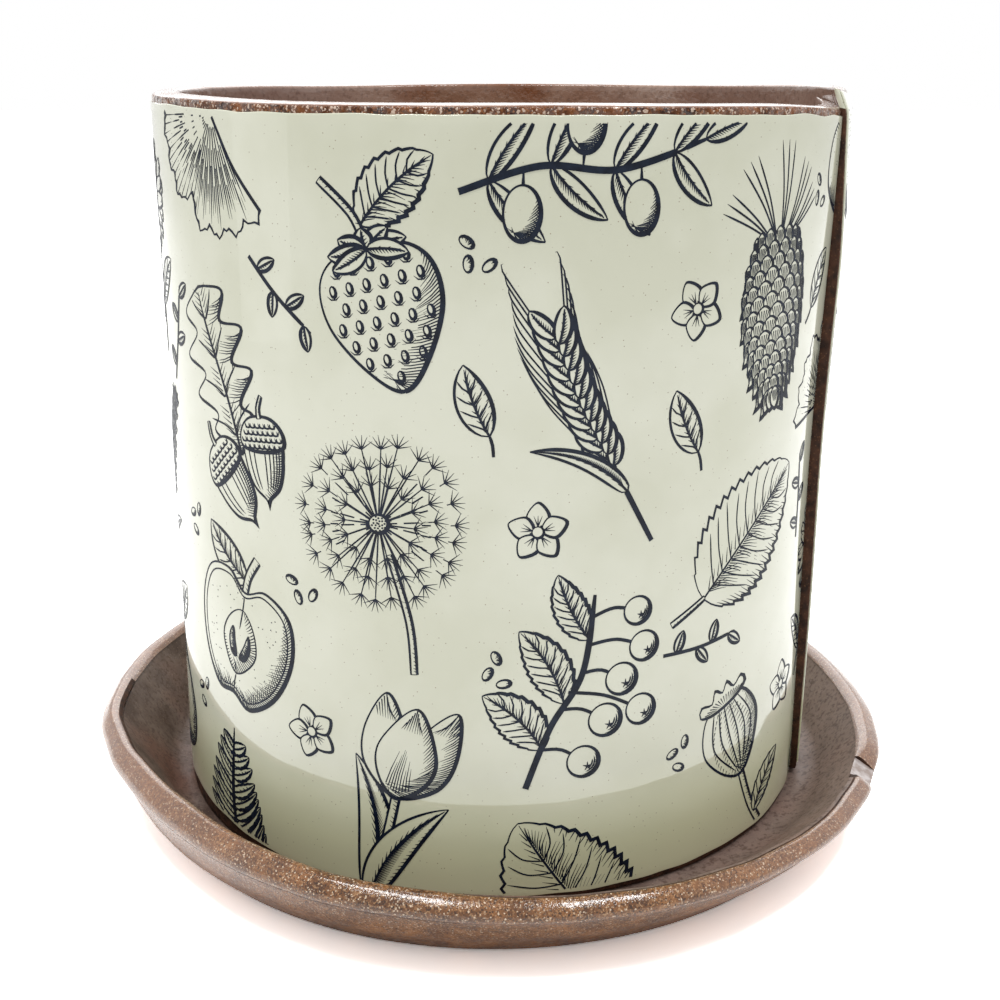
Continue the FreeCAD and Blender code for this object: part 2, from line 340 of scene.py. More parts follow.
def soften_edges(piece, edge_width, end_width):
    """Rounds a standing sheet's rim and foot by one width and its two upright ends by another."""
    weights = piece.data.attributes.new("bevel_weight_edge", "FLOAT", "EDGE")
    left, right = piece.bound_box[0][0], piece.bound_box[6][0]
    low, high = piece.bound_box[0][2], piece.bound_box[6][2]
    hair = 0.01 * MM
    points = piece.data.vertices
    for edge in piece.data.edges:
        first, second = (points[i].co for i in edge.vertices)
        across = abs(first.y - second.y) > hair
        level = abs(first.z - second.z) < hair and not across
        upright = abs(first.x - second.x) < hair and not across
        if level and min(first.z - low, high - first.z) < hair:
            weights.data[edge.index].value = 1
        elif upright and min(first.x - left, right - first.x) < hair:
            weights.data[edge.index].value = end_width / edge_width
    finish_with(piece, "BEVEL", width=edge_width, segments=6, limit_method="WEIGHT")


# How much of the wall's foot is raw and how far up the pale coat leaves it bare, more so on the left, where
# the taller dark band is painted shade as well as bare clay
RAW_FOOT = 7 * MM
BARE_FOOT = 1.5 * MM
BARE_AND_SHADED_LEFT = 2.6 * MM
BARE_AND_SHADED_LEFT_PLACE = along_wall(294)
BARE_AND_SHADED_LEFT_REACH = 28 * MM

# The pale coat: columns and rows, rounding, how far it sinks into the wall, how far it stays from the slab's
# outer end and from the lap, and its uneven edges
COAT_CUTS = (260, 84)
COAT_ROUND = 0.25 * MM
COAT_SUNK = 0.03 * MM
COAT_FROM_END = 0.12 * MM
COAT_FROM_LAP = 0.05 * MM
COAT_EDGE_WOBBLE = 0.35 * MM
COAT_EDGE_WAVES = 9

# How far the pale coat creeps up at the flap's corner
COAT_CREEP = 1.5 * MM
COAT_CREEP_REACH = 12 * MM


def bare_foot(x):
    """How far up the wall's foot is bare at a place along the slab; the extra height on the left is painted
    shade as well as bare clay.
    """
    return BARE_FOOT + BARE_AND_SHADED_LEFT * hump(x, BARE_AND_SHADED_LEFT_PLACE, BARE_AND_SHADED_LEFT_REACH)


def rim_rounding(z):
    """How far the outer edge of the rim falls back at a height."""
    above = max(0, z - POT_RIM + RIM_SLOPE + RIM_ROUND)
    return RIM_ROUND - math.sqrt(max(0, RIM_ROUND ** 2 - above ** 2))


def make_rolled_wall():
    """The clay slab, rolled into the pot's wall: glazed inside and on top, raw at its ends and foot."""
    wall = flat_sheet("rolled_wall", FLAP_END, INNER_END, POT_FOOT, POT_RIM, 0, SLAB_CUTS)
    finish_with(wall, "SOLIDIFY", thickness=WALL, offset=-1)
    soften_edges(wall, RIM_ROUND, SLAB_END_ROUND)
    wear(wall, chestnut_clay, raw_clay_and_shade, glazed_clay, pale_slip)
    for face in wall.data.polygons:
        if face.normal.x < -0.3 and face.center.z > POT_RIM - FLAP_TIP_COATED:
            paint(wall, face, pale_slip)
        elif abs(face.normal.x) > 0.9 or face.center.z < POT_FOOT + RAW_FOOT:
            paint(wall, face, raw_clay_and_shade)
        elif face.normal.y > -0.7:
            paint(wall, face, glazed_clay)
    for vertex in wall.data.vertices:
        near_rim = share_between(vertex.co.z, POT_RIM - RIM_SLOPE_REACH, POT_RIM)
        vertex.co.z -= RIM_SLOPE * near_rim * (1 - vertex.co.y / WALL)
    roll_up(wall)
    tidy_mesh(wall)
    return wall


def make_pale_coat():
    """The thin pale coat on the outside of the wall, which creeps over the rim at the flap's corner."""
    left = FLAP_END + COAT_FROM_END
    right = UNDER_FLAP - COAT_FROM_LAP
    low = POT_FOOT + BARE_FOOT
    high = coat_high.z
    coat = flat_sheet("pale_coat", left, right, low, high, -COAT, COAT_CUTS)
    finish_with(coat, "SOLIDIFY", thickness=COAT + COAT_SUNK, offset=-1)
    soften_edges(coat, COAT_ROUND, COAT_ROUND)
    for vertex in coat.data.vertices:
        x, y, z = vertex.co
        at_edge = abs(share_between(z, low, high) - 0.5) > 0.49
        near_foot = share_between(z, low + COAT_CREEP_REACH, low)
        near_top = share_between(z, high - COAT_CREEP_REACH, high)
        near_corner = eased(share_between(x, FLAP_END + COAT_CREEP_REACH, FLAP_END))
        if at_edge:
            z += COAT_EDGE_WOBBLE * waver(x / POT_RADIUS, COAT_EDGE_WAVES, z / POT_RIM)
        z += (bare_foot(x) - BARE_FOOT) * near_foot
        z += COAT_CREEP * near_corner * near_top
        vertex.co = (x, y + rim_rounding(z), z)
    wear(coat, pale_slip)
    roll_up(coat)
    tidy_mesh(coat)
    return coat


DISH_TOP_RADIUS = DISH_EDGE - DISH_THICKNESS * math.sin(DISH_SIDE_ANGLE)
DISH_EDGE_HEIGHT = DISH_TOP - DISH_THICKNESS * math.cos(DISH_SIDE_ANGLE)
DISH_FLOOR_RADIUS = DISH_TOP_RADIUS - (DISH_TOP - DISH_FLOOR) / math.tan(DISH_SIDE_ANGLE)
DISH_FOOT_RADIUS = DISH_EDGE - DISH_EDGE_HEIGHT / math.tan(DISH_SIDE_ANGLE)

# How far the hand-formed saucer strays from true, and the waves of its wobble and of the finger marks
RIM_HIGHER_LEFT = 2.3 * MM
RIM_HIGHER_BACK = 1.5 * MM
RIM_SHIFT = Vector((1.2 * MM, -1.0 * MM))
SAUCER_WOBBLE = 0.45 * MM
SAUCER_WAVES = 1.6
SAUCER_WAVES_LEVEL = 0.7
FINGER_MARKS = 0.3 * MM
FINGER_WAVES = 5.5
SIDE_BULGE = 1.3 * MM

# Where the saucer's rim was pushed out or in: degrees from the front and millimetres; the left has a corner
RIM_PUSHES = (
    (-180, 0), (-150, 0), (-105, 2.0), (-77, 2.8), (-62, 0.2), (-48, -1.3), (-22, 0), (50, 0.6),
    (66, -0.3), (80, -1.2), (105, -1.7), (140, 0), (180, 0),
)


def pushed(turn):
    """How far the saucer's rim was pushed out at a turn."""
    for (first, start), (second, end) in zip(RIM_PUSHES, RIM_PUSHES[1:]):
        if turn <= second:
            return MM * (start + (end - start) * share_between(turn, first, second))
    return 0.0


def form_by_hand(piece):
    """Tilts, pushes and wavers the saucer's side, and leaves its floor and foot flat."""
    for vertex in piece.data.vertices:
        x, y, z = vertex.co
        share = max(0, (z - DISH_FLOOR) / (DISH_TOP - DISH_FLOOR))
        turn = math.atan2(x, -y)
        out = Vector((math.sin(turn), -math.cos(turn)))
        around = Vector((SAUCER_WAVES * out.x, SAUCER_WAVES * out.y, SAUCER_WAVES_LEVEL))
        push = pushed(math.degrees(turn)) + SAUCER_WOBBLE * noise.noise(around)
        push += FINGER_MARKS * noise.noise(FINGER_WAVES * around)
        shift = share * (RIM_SHIFT + push * out)
        rise = -RIM_HIGHER_LEFT * out.x + RIM_HIGHER_BACK * out.y
        vertex.co = (x + shift.x, y + shift.y, z + share * rise)


def make_saucer_bowl():
    """The dish: a disc drawn up ring by ring into a flared side, a cut edge and a flat floor."""
    start_piece()
    bpy.ops.mesh.primitive_circle_add(vertices=DISH_SIDES, radius=DISH_FOOT_RADIUS, fill_type="NGON")
    dish = named("saucer_bowl")
    bpy.ops.object.mode_set(mode="EDIT")
    bpy.ops.mesh.select_all(action="SELECT")
    rings = [(DISH_FOOT_RADIUS, 0), (DISH_EDGE, DISH_EDGE_HEIGHT),
             (DISH_TOP_RADIUS, DISH_TOP), (DISH_FLOOR_RADIUS, DISH_FLOOR)]
    for (radius, height), (next_radius, next_height) in zip(rings, rings[1:]):
        bpy.ops.mesh.extrude_region_move(TRANSFORM_OT_translate={"value": (0, 0, next_height - height)})
        scale = next_radius / radius
        bpy.ops.transform.resize(value=(scale, scale, 1), center_override=(0, 0, 0))

    hair = 0.1 * MM
    select_edges(dish, lambda a, b: max(a.z, b.z) < hair)
    bpy.ops.mesh.bevel(offset=DISH_FOOT_ROUND, segments=4)
    select_edges(dish, lambda a, b: max(abs(a.z - DISH_FLOOR), abs(b.z - DISH_FLOOR)) < hair)
    bpy.ops.mesh.bevel(offset=DISH_FLOOR_ROUND, segments=5)
    select_edges(dish, lambda a, b: abs(a.z - b.z) > 3 * MM)
    bpy.ops.mesh.subdivide(number_cuts=7)
    bpy.ops.object.mode_set(mode="OBJECT")
    wear(dish, satin_clay, speckled_clay, painted_gap_highlight)
    for face in dish.data.polygons:
        out = Vector((face.center.x, face.center.y, 0)).normalized()
        if face.normal.z < 0:
            paint(dish, face, speckled_clay)
        # The cut edge, left bare in the strip's gap, takes the painted highlight
        elif face.normal.dot(out) > 0.3:
            paint(dish, face, painted_gap_highlight)
    for vertex in dish.data.vertices:
        x, y, z = vertex.co
        radius = math.hypot(x, y)
        if radius > DISH_FOOT_RADIUS + z / math.tan(DISH_SIDE_ANGLE) - DISH_THICKNESS / 4:
            scale = 1 + SIDE_BULGE * math.sin(math.pi * z / DISH_EDGE_HEIGHT) ** 2 / radius
            vertex.co = (x * scale, y * scale, z)
    form_by_hand(dish)
    tidy_mesh(dish, 35)
    return dish


def make_rim_strip():
    """The strip of coarse clay on the dish's cut edge, split inside on the left and grooved on the right,
    with dark raw clay as painted shade in the split, the groove and the front end's hollow.
    """
    along_cut = Vector((DISH_TOP_RADIUS - DISH_EDGE, 0, DISH_TOP - DISH_EDGE_HEIGHT)).normalized()
    off_cut = Vector((along_cut.z, 0, -along_cut.x))
    low_edge = Vector((DISH_EDGE, 0, DISH_EDGE_HEIGHT))
    width = DISH_THICKNESS + STRIP_OVERHANG
    middle = low_edge + along_cut * width / 2 + off_cut * STRIP_THICKNESS / 2
    start_piece()
    facing = (math.pi / 2, math.pi / 2 - DISH_SIDE_ANGLE, 0)
    bpy.ops.mesh.primitive_plane_add(size=1, location=middle, rotation=facing)
    bpy.context.active_object.scale = (width, STRIP_THICKNESS, 1)
    strip = named("rim_strip")
    bpy.ops.object.mode_set(mode="EDIT")
    bpy.ops.mesh.select_all(action="DESELECT")
    bpy.ops.mesh.select_mode(type="VERT")
    bpy.ops.object.mode_set(mode="OBJECT")
    for vertex in strip.data.vertices:
        vertex.select = (vertex.co - middle).dot(off_cut) > 0
    bpy.ops.object.mode_set(mode="EDIT")
    bpy.ops.mesh.bevel(offset=STRIP_ROUND, segments=5, affect="VERTICES")
    select_edges(strip, lambda a, b: (a - b).length > 2 * MM)
    bpy.ops.mesh.subdivide(number_cuts=5)
    bpy.ops.mesh.select_all(action="SELECT")
    first_turn = STRIP_GAP_MIDDLE_TURN - STRIP_GAP_TURN / 2 - 90
    bpy.ops.transform.rotate(value=-math.radians(first_turn), orient_axis="Z", center_override=(0, 0, 0))
    bpy.ops.mesh.spin(steps=300, angle=math.radians(360 - STRIP_GAP_TURN), center=(0, 0, 0), axis=(0, 0, 1))
    bpy.ops.object.mode_set(mode="OBJECT")
    wear(strip, speckled_clay, raw_clay_and_shade, satin_clay)

    def section_place(point):
        """Where a point lies along the dish's cut and off it, and its slope on the inner round."""
        place = Vector((math.hypot(point.x, point.y), 0, point.z)) - low_edge
        across, thick = place.dot(along_cut), place.dot(off_cut)
        slope = math.atan2(thick - STRIP_THICKNESS + STRIP_ROUND, across - width + STRIP_ROUND)
        return across, thick, math.degrees(slope)

    def turn_of(point):
        """A point's turn from the front, and how far it is from the strip's nearest end."""
        turn = math.degrees(math.atan2(point.x, -point.y))
        return turn, abs(turn - STRIP_GAP_MIDDLE_TURN) - STRIP_GAP_TURN / 2

    def within(turn, turns):
        """1 between two turns, fading out past both."""
        first, last = turns
        opens = share_between(turn, first - STRIP_CRACK_FADE, first)
        return eased(opens * share_between(turn, last + STRIP_CRACK_FADE, last))

    shade_from, shade_to = STRIP_SHADE_SLOPES
    for face in strip.data.polygons:
        slope = section_place(face.center)[2]
        turn, from_end = turn_of(face.center)
        along = Vector((-face.center.y, face.center.x, 0)).normalized()
        at_front_end = from_end < STRIP_HOLLOW_SHADE_TURN and turn < STRIP_GAP_MIDDLE_TURN
        cut_end = abs(face.normal.dot(along)) > 0.8
        grooved = within(turn, STRIP_GROOVE_TURNS) > 0.5
        split = within(turn, STRIP_SPLIT_TURNS) > 0.5
        # Dark raw clay in the front end's hollow, the groove and the split: painted shade, where the
        # geometry also sinks in
        if cut_end or (at_front_end and slope < STRIP_HOLLOW_SHADE_SLOPE):
            paint(strip, face, raw_clay_and_shade)
        elif grooved and slope < shade_to:
            paint(strip, face, raw_clay_and_shade if slope > shade_from else satin_clay)
        elif split and slope < shade_from:
            paint(strip, face, raw_clay_and_shade)
    groove_from, groove_to = STRIP_GROOVE_SLOPES
    for vertex in strip.data.vertices:
        turn, from_end = turn_of(vertex.co)
        across, thick, slope = section_place(vertex.co)
        at_front = turn < STRIP_GAP_MIDDLE_TURN
        end_turn, thin_outside, thin_inside = STRIP_FRONT_END if at_front else STRIP_BACK_END
        thin = thin_outside + (thin_inside - thin_outside) * across / width
        thick *= 1 - thin * (1 - share_between(from_end, 0, end_turn)) ** 2
        grooved = within(turn, STRIP_GROOVE_TURNS)
        thick += STRIP_CRACK * max(grooved, within(turn, STRIP_SPLIT_TURNS)) * (across / width) ** 2
        if groove_from < slope < groove_to:
            across -= STRIP_GROOVE * grooved * math.cos(math.radians(slope))
            thick -= STRIP_GROOVE * grooved * math.sin(math.radians(slope))
        place = low_edge + across * along_cut + thick * off_cut
        way = math.radians(turn)
        vertex.co = (place.x * math.sin(way), -place.x * math.cos(way), place.z)
    form_by_hand(strip)
    tidy_mesh(strip)
    return strip


# Pen widths on the printed sheet, in millimetres
LINE = 0.6
FINE = 0.38
HAIR = 0.25


def polar(length, degrees):
    """A step of some length at an angle, counted from the right upwards."""
    return cmath.rect(length, math.radians(degrees))


# The side that the drawn light doesn't reach
SHADE = polar(1, -35)


def inside(point, outline):
    """Whether a point lies in a closed outline."""
    enclosed = False
    for a, b in zip(outline, outline[1:] + outline[:1]):
        if (a.imag > point.imag) != (b.imag > point.imag):
            edge_at = a.real + (point.imag - a.imag) * (b.real - a.real) / (b.imag - a.imag)
            enclosed ^= point.real < edge_at
    return enclosed


def outward(outline):
    """The quarter turn from a step along a closed outline to its outside."""
    turning = sum((a.conjugate() * b).imag for a, b in zip(outline, outline[1:] + outline[:1]))
    return -1j if turning > 0 else 1j


def both_sides(points):
    """Half an outline, then its mirror image on the way back; points on the axis come once."""
    return points + [-p.conjugate() for p in reversed(points) if p.real]


def flowing(points, closed=False, step=0.8):
    """A smooth line through a few points, in short steps."""
    if closed:
        padded = points[-1:] + points + points[:2]
    else:
        padded = points[:1] + points + points[-1:]
    line = []
    for before, a, b, after in zip(padded, padded[1:], padded[2:], padded[3:]):
        steps = max(2, round(abs(b - a) / step))
        for i in range(steps):
            t = i / steps
            pull = t * (before * (-1 + 2 * t - t * t) + after * (t * t - t))
            line.append((pull + a * (2 + t * t * (3 * t - 5)) + b * t * (1 + t * (4 - 3 * t))) / 2)
    line.append(line[0] if closed else points[-1])
    return line


def ring(centre, radius, squash=1.0, turn=0.0, steps=28):
    """A closed round outline, squashed across and turned."""
    way = polar(1, turn)
    round_steps = (math.tau * i / steps for i in range(steps))
    return [centre + radius * way * complex(math.cos(a), squash * math.sin(a)) for a in round_steps]


def point_along(line, share):
    """A point of a line at a share of its steps, and the way the line runs there."""
    step = int(share * (len(line) - 2))
    way = line[step + 1] - line[step]
    return line[step], way / abs(way)


def crossing(start, end, picked):
    """Where a straight step enters or leaves what a test picks."""
    at_start = picked(start)
    for _ in range(6):
        middle = (start + end) / 2
        if picked(middle) == at_start:
            start = middle
        else:
            end = middle
    return (start + end) / 2


class Drawing:
    """Pen strokes on the sheet: each has its points, in millimetres, and the pen's width at each."""

    def __init__(self, seed=1):
        self.strokes = []
        self.hand = random.Random(seed)

    def line(self, points, width=LINE, start=0.4, end=0.4):
        """A stroke that thins to a share of its width at either end."""
        def taper(t):
            return min(1, start + 5 * t * (1 - start), end + 5 * (1 - t) * (1 - end))

        last = len(points) - 1
        self.strokes.append((list(points), [width * taper(i / last) for i in range(last + 1)]))

    def flick(self, start, end, width=HAIR, bow=0.0):
        """A short shading stroke that runs out to nothing."""
        middle = (start + end) / 2 + (end - start) * 1j * bow
        points = [start, (start + 2 * middle + end) / 4 + (start - end) * 0.06, end]
        self.strokes.append((points, [width, width * 0.8, width * 0.25]))

    def dot(self, place, size=FINE):
        """A dot of ink."""
        self.strokes.append(([place - size / 2, place, place + size / 2], [size * 0.6, size, size * 0.6]))

    def cut(self, unwanted):
        """Rubs out every part of a stroke that a test picks."""
        kept = []
        for points, widths in self.strokes:
            rubbed = [unwanted(point) for point in points]
            run = []
            for i, spot in enumerate(zip(points, widths)):
                if i and rubbed[i] != rubbed[i - 1]:
                    run.append((crossing(points[i - 1], points[i], unwanted), spot[1]))
                if rubbed[i]:
                    kept.append(run)
                    run = []
                else:
                    run.append(spot)
            kept.append(run)
        self.strokes = [tuple(map(list, zip(*run))) for run in kept if len(run) > 1]

    def hide(self, outline):
        """Rubs out what lies behind a closed outline."""
        left, right = min(p.real for p in outline), max(p.real for p in outline)
        low, high = min(p.imag for p in outline), max(p.imag for p in outline)

        def behind(point):
            near = left < point.real < right and low < point.imag < high
            return near and inside(point, outline)

        self.cut(behind)

    def shape(self, outline, width=LINE):
        """A closed shape in front of what is drawn so far, with a heavier line on its shaded side."""
        self.hide(outline)
        closed = outline + outline[:2]
        side = outward(outline)
        widths = []
        for a, b in zip(closed, closed[1:]):
            out = (b - a) * side
            facing = (out * SHADE.conjugate()).real / (abs(out) + 1e-9)
            widths.append(width * (0.95 + 0.45 * facing))
        self.strokes.append((closed[:-1], widths))

    def shade(self, outline, depth, gap=0.75, slant=25, reach=0.1, width=HAIR, toward=SHADE):
        """Shading strokes from the shaded edge of a closed shape into it."""
        side = outward(outline)
        walked = 0.0
        for a, b in zip(outline, outline[1:] + outline[:1]):
            length = abs(b - a)
            if length == 0:
                continue
            out = (b - a) / length * side
            facing = (out * toward.conjugate()).real
            walked += length
            while walked > gap:
                walked -= gap
                place = b - (b - a) / length * walked
                if facing > reach:
                    inward = -out * polar(1, slant)
                    size = depth * (facing - reach) * self.hand.uniform(0.75, 1.2)
                    for share in (1, 0.6, 0.3):
                        if inside(place + inward * size * share, outline):
                            self.flick(place, place + inward * size * share, width, 0.08)
                            break

    def add(self, other, place=0, turn=0.0, scale=1.0):
        """A copy of another drawing, moved, turned in degrees and scaled."""
        way = polar(scale, turn)
        for points, widths in other.strokes:
            self.strokes.append(([place + way * p for p in points], widths))


def swell(t, early=0.7, late=0.85):
    """A leaf's half width along its rib, at most 1."""
    peak = early / (early + late)
    return (t / peak) ** early * ((1 - t) / (1 - peak)) ** late


def leaf(d, root, tip, width, bow=0.12, veins=6, teeth=0, early=0.7, late=0.85, shaded=True):
    """A leaf with its rib, veins and shading on its far half."""
    middle = (root + tip) / 2 + (tip - root) * 1j * bow

    def rib(t):
        return (1 - t) ** 2 * root + 2 * t * (1 - t) * middle + t * t * tip

    def at(t, across):
        way = (1 - t) * (middle - root) + t * (tip - middle)
        tooth = 1 + 0.13 * ((t * teeth) % 1 - 0.5) if teeth else 1
        return rib(t) + across * width / 2 * swell(t, early, late) * tooth * 1j * way / abs(way)

    steps = max(12, round(abs(tip - root) / 0.7), 5 * teeth)
    shares = [i / steps for i in range(steps + 1)]
    near = [at(t, 1) for t in shares]
    far = [at(t, -1) for t in shares]
    d.hide(near + far[::-1])
    d.line(near, LINE * 0.85)
    d.line(far, LINE * 1.2)
    d.line([rib(t) for t in shares[:-1]], FINE * 1.2, 1, 0.3)
    for i in range(veins):
        t = 0.1 + 0.72 * i / veins
        for side in (1, -1):
            run = [at(t, 0), at(t + 0.07, side * 0.42), at(min(t + 0.17, 0.97), side * 0.86)]
            d.line(flowing(run), HAIR * 1.25, 1, 0.25)
    strokes = round(abs(tip - root) / 0.62) if shaded else 0
    for i in range(strokes):
        t = 0.06 + 0.84 * i / strokes
        fold = 1 - (t * (veins + 1)) % 1
        d.flick(at(t, -0.04), at(min(t + 0.09, 0.96), -(0.2 + 0.45 * fold)), HAIR, 0.06)
        if i % 2:
            d.flick(at(t, -0.97), at(max(t - 0.03, 0.02), -0.72), HAIR)
        if i % 3 == 0:
            d.flick(at(t, 0.05), at(min(t + 0.06, 0.96), 0.25), HAIR)


def stalk(d, points, width, thin=0.7):
    """A stalk with two sides and ticks of shading along one."""
    middle = flowing(points)
    last = len(middle) - 1
    ways = [b - a for a, b in zip(middle, middle[1:])]
    ways.append(ways[-1])
    sides = [w / (abs(w) + 1e-9) * 1j * width / 2 * (1 - (1 - thin) * i / last) for i, w in enumerate(ways)]
    near = [p + s for p, s in zip(middle, sides)]
    far = [p - s for p, s in zip(middle, sides)]
    d.hide(near + far[::-1])
    d.line(near, FINE * 1.1, 0.8, 0.8)
    d.line(far, LINE, 0.8, 0.8)
    d.line([near[0], far[0]], FINE)
    d.line([near[-1], far[-1]], FINE)
    for p, s, w in zip(far[1:-1], sides[1:-1], ways[1:-1]):
        d.flick(p, p + s * d.hand.uniform(0.6, 1.3) + w * 0.5, HAIR)


def berry(d, centre, radius, mark=0.0):
    """A round berry with curved shading and a small crown."""
    outline = ring(centre, radius)
    d.shape(outline, LINE * 0.95)
    for share, fan in ((0.86, 62), (0.72, 50), (0.58, 36)):
        arc = [centre + polar(radius * share, -35 + fan * (i / 4 - 1)) for i in range(9)]
        d.line(arc, HAIR * 1.3, 0.1, 0.1)
    d.shade(outline, radius * 0.5, 0.5, 10, 0.35)
    crown = centre + polar(radius * 0.45, mark)
    for i in range(5):
        way = polar(radius * 0.3, mark + 72 * i)
        d.flick(crown, crown + way, FINE)


def pear():
    d = Drawing(3)
    leaf(d, 0.6 + 16j, 15 + 21j, 7.5, -0.16, 6)
    stalk(d, [-0.4 + 14.5j, 0.2 + 18j, 2.2 + 21.5j], 1.3, 1.2)
    outline = flowing([-14.2j, 8 - 12.6j, 11.6 - 6j, 10 + 1j, 6 + 7j, 4.3 + 11.6j, 0.6 + 14.8j, -3 + 13.2j,
                       -5.2 + 8j, -9 + 2j, -11.6 - 5j, -8.4 - 12.4j], True)
    d.shape(outline, LINE * 1.1)
    d.shade(outline, 8.5, 0.62, 32)
    d.shade(outline, 4.2, 0.75, -18, 0.3)
    d.shade(outline, 2.2, 1.0, 30, 0.35, HAIR, -SHADE)
    for i in range(46):
        spot = complex(d.hand.gauss(-3, 3.2), d.hand.gauss(-4, 4.6))
        if inside(spot, outline):
            d.dot(spot, HAIR)
    for i in range(7):
        d.flick(-13.4j, -13.4j + polar(1.7, -10 + 32 * i), FINE)
    return d


def acorn(d, place, turn, size=1.0):
    """A nut in its scaly cup."""
    way = polar(size, turn)
    nut_side = both_sides([-4.6 + 0j, -5.2 - 4.5j, -3.6 - 9.4j, -0.6 - 12j, -13.2j])
    nut = [place + way * p for p in flowing(nut_side, True)]
    d.shape(nut)
    for lane in (-0.78, -0.5, 0.1, 0.35, 0.55, 0.72, 0.86):
        line = [complex(lane * 5.2 * math.cos(t), -1 - 10.6 * math.sin(t)) for t in (0.05, 0.4, 0.75, 1.05)]
        d.line([place + way * p for p in flowing(line)], HAIR * 1.2, 1, 0.2)
    d.shade(nut, 3.4 * size, 0.5, 15, 0.2)
    cup_side = [-6 - 1j, -5.6 + 2.2j, -2.6 + 4.6j, 2.6 + 4.6j, 5.6 + 2.2j, 6 - 1j, 2.6 - 2.2j, -2.6 - 2.2j]
    cup = [place + way * p for p in flowing(cup_side, True)]
    d.shape(cup, LINE * 1.1)
    for row in range(4):
        for i in range(-4, 5):
            at = complex(i * 1.4 + (row % 2) * 0.7, -1 + row * 1.4)
            scale = [place + way * (at + p) for p in (-0.75 + 0.2j, -0.5 - 0.6j, 0.5 - 0.6j, 0.75 + 0.2j)]
            if all(inside(p, cup) for p in scale):
                d.line(flowing(scale, step=0.5), FINE)
                d.flick(scale[2], scale[2] + way * (-0.3 + 0.9j), HAIR)
    stalk(d, [place + way * p for p in (4.4j, 6.5j, 1.2 + 9j)], 1.1 * size)


def oak():
    """Two acorns over a lobed leaf."""
    d = Drawing(6)

    def edge(t, side):
        lobe = 0.74 + 0.26 * math.cos(math.tau * (4 * t + 0.42))
        return complex(side * 10.5 * swell(t, 0.6, 0.42) * lobe, 32 * t - 9 + 1.6 * lobe)

    shares = [i / 60 for i in range(61)]
    outline = [edge(t, 1) for t in shares] + [edge(t, -1) for t in reversed(shares)]
    d.shape(outline)
    d.shade(outline, 4.5, 0.62, 40, -0.1)
    d.line([complex(0.6 * math.sin(5 * t), 32 * t - 8) for t in shares[:-2]], LINE, 1, 0.3)
    for i in range(4):
        root = complex(0, -4.5 + 7.4 * i)
        for side in (1, -1):
            vein = [root, root + complex(side * 2.6, 2.6), root + complex(side * (6.6 - 0.9 * i), 4.6)]
            d.line(flowing(vein), FINE, 1, 0.2)
            for k in range(5):
                start = root + complex(side * 0.3, 1.1 * k)
                d.flick(start, start + complex(side * 2.2, 1.9), HAIR)
    acorn(d, -6.4 - 9j, 20)
    acorn(d, 6.6 - 7j, -16, 0.92)
    return d


def fern():
    d = Drawing(7)
    rib = flowing([-1 - 23j, -4 - 8j, -2 + 6j, 6 + 21j])
    for i in range(15):
        t = 0.12 + 0.84 * i / 15
        root, way = point_along(rib, t)
        reach = 11 * math.sin(math.pi * (0.22 + 0.76 * t)) ** 0.9 + 0.8
        for side in (1, -1):
            tip = root + way * polar(reach, side * 56)
            leaf(d, root, tip, 2.6, 0.12 * side, 0, 5, 0.35, 0.7, False)
            for j in range(4):
                start = root + (tip - root) * (0.15 + 0.16 * j)
                d.flick(start, start + (tip - root) / reach * polar(1, -32), HAIR)
    d.line(rib, LINE * 1.7, 1, 0.3)
    return d


def daisy():
    d = Drawing(8)
    stalk(d, [1 - 22j, 2.4 - 12j, 0.5 + 2j], 1.4)
    leaf(d, 2 - 13j, 14 - 6j, 5.5, 0.14, 5)
    leaf(d, 1.8 - 16j, -10 - 10j, 5, -0.14, 5)
    heart = 7j
    for layer, count, reach in ((0, 15, 13.5), (7, 15, 12.2)):
        for i in range(count):
            angle = math.radians(layer + 360 * i / count + d.hand.uniform(-4, 4))
            way = complex(math.cos(angle), 0.82 * math.sin(angle))
            root, tip = heart + 2.5 * way, heart + reach * d.hand.uniform(0.93, 1.04) * way
            across = (tip - root) * 1j
            widest = root + (tip - root) * 0.55
            petal = flowing([root - across * 0.06, widest - across * 0.15, tip - across * 0.08,
                             tip * 0.98 + root * 0.02, tip + across * 0.08, widest + across * 0.15,
                             root + across * 0.06], True, 0.6)
            d.shape(petal, LINE * 0.85)
            for lane in (-0.07, 0.0, 0.07):
                far = d.hand.uniform(0.3, 0.62)
                d.flick(root + across * lane * 0.6, root + (tip - root) * far + across * lane, HAIR)
            d.flick(tip - across * 0.03, tip + (root - tip) * 0.22 - across * 0.03, HAIR)
    disc = ring(heart, 4, 0.85)
    d.shape(disc, LINE * 1.1)
    for i in range(70):
        angle = i * 2.39996
        spot = heart + 3.5 * math.sqrt(i / 70) * complex(math.cos(angle), 0.85 * math.sin(angle))
        d.dot(spot, FINE * (0.8 + 0.5 * (i / 70)))
    d.shade(disc, 1.6, 0.4, 0, 0)
    return d


def wheat():
    d = Drawing(9)
    stem = flowing([-1 - 24j, 0.5 - 8j, 2 + 6j, 5 + 19j])
    d.line(stem, LINE * 1.7, 0.9, 0.4)
    for i in range(11):
        place, way = point_along(stem, 0.4 + 0.6 * i / 11)
        for side in (1, -1):
            root = place + way * (1.2 if side > 0 else 0)
            tip = root + way * polar(6.6, side * 26)
            bend = tip + way * polar(8, side * 14)
            far = tip + way * polar(15 - 0.6 * i, side * 9)
            d.line(flowing([tip, bend, far]), HAIR * 1.2, 1, 0.1)
            leaf(d, root, tip, 3, 0.1 * side, 0, 0, 0.6, 0.7)
    leaf(d, 0.2 - 13j, -10 + 4j, 3, -0.22, 0, 0, 0.4, 0.9)
    return d


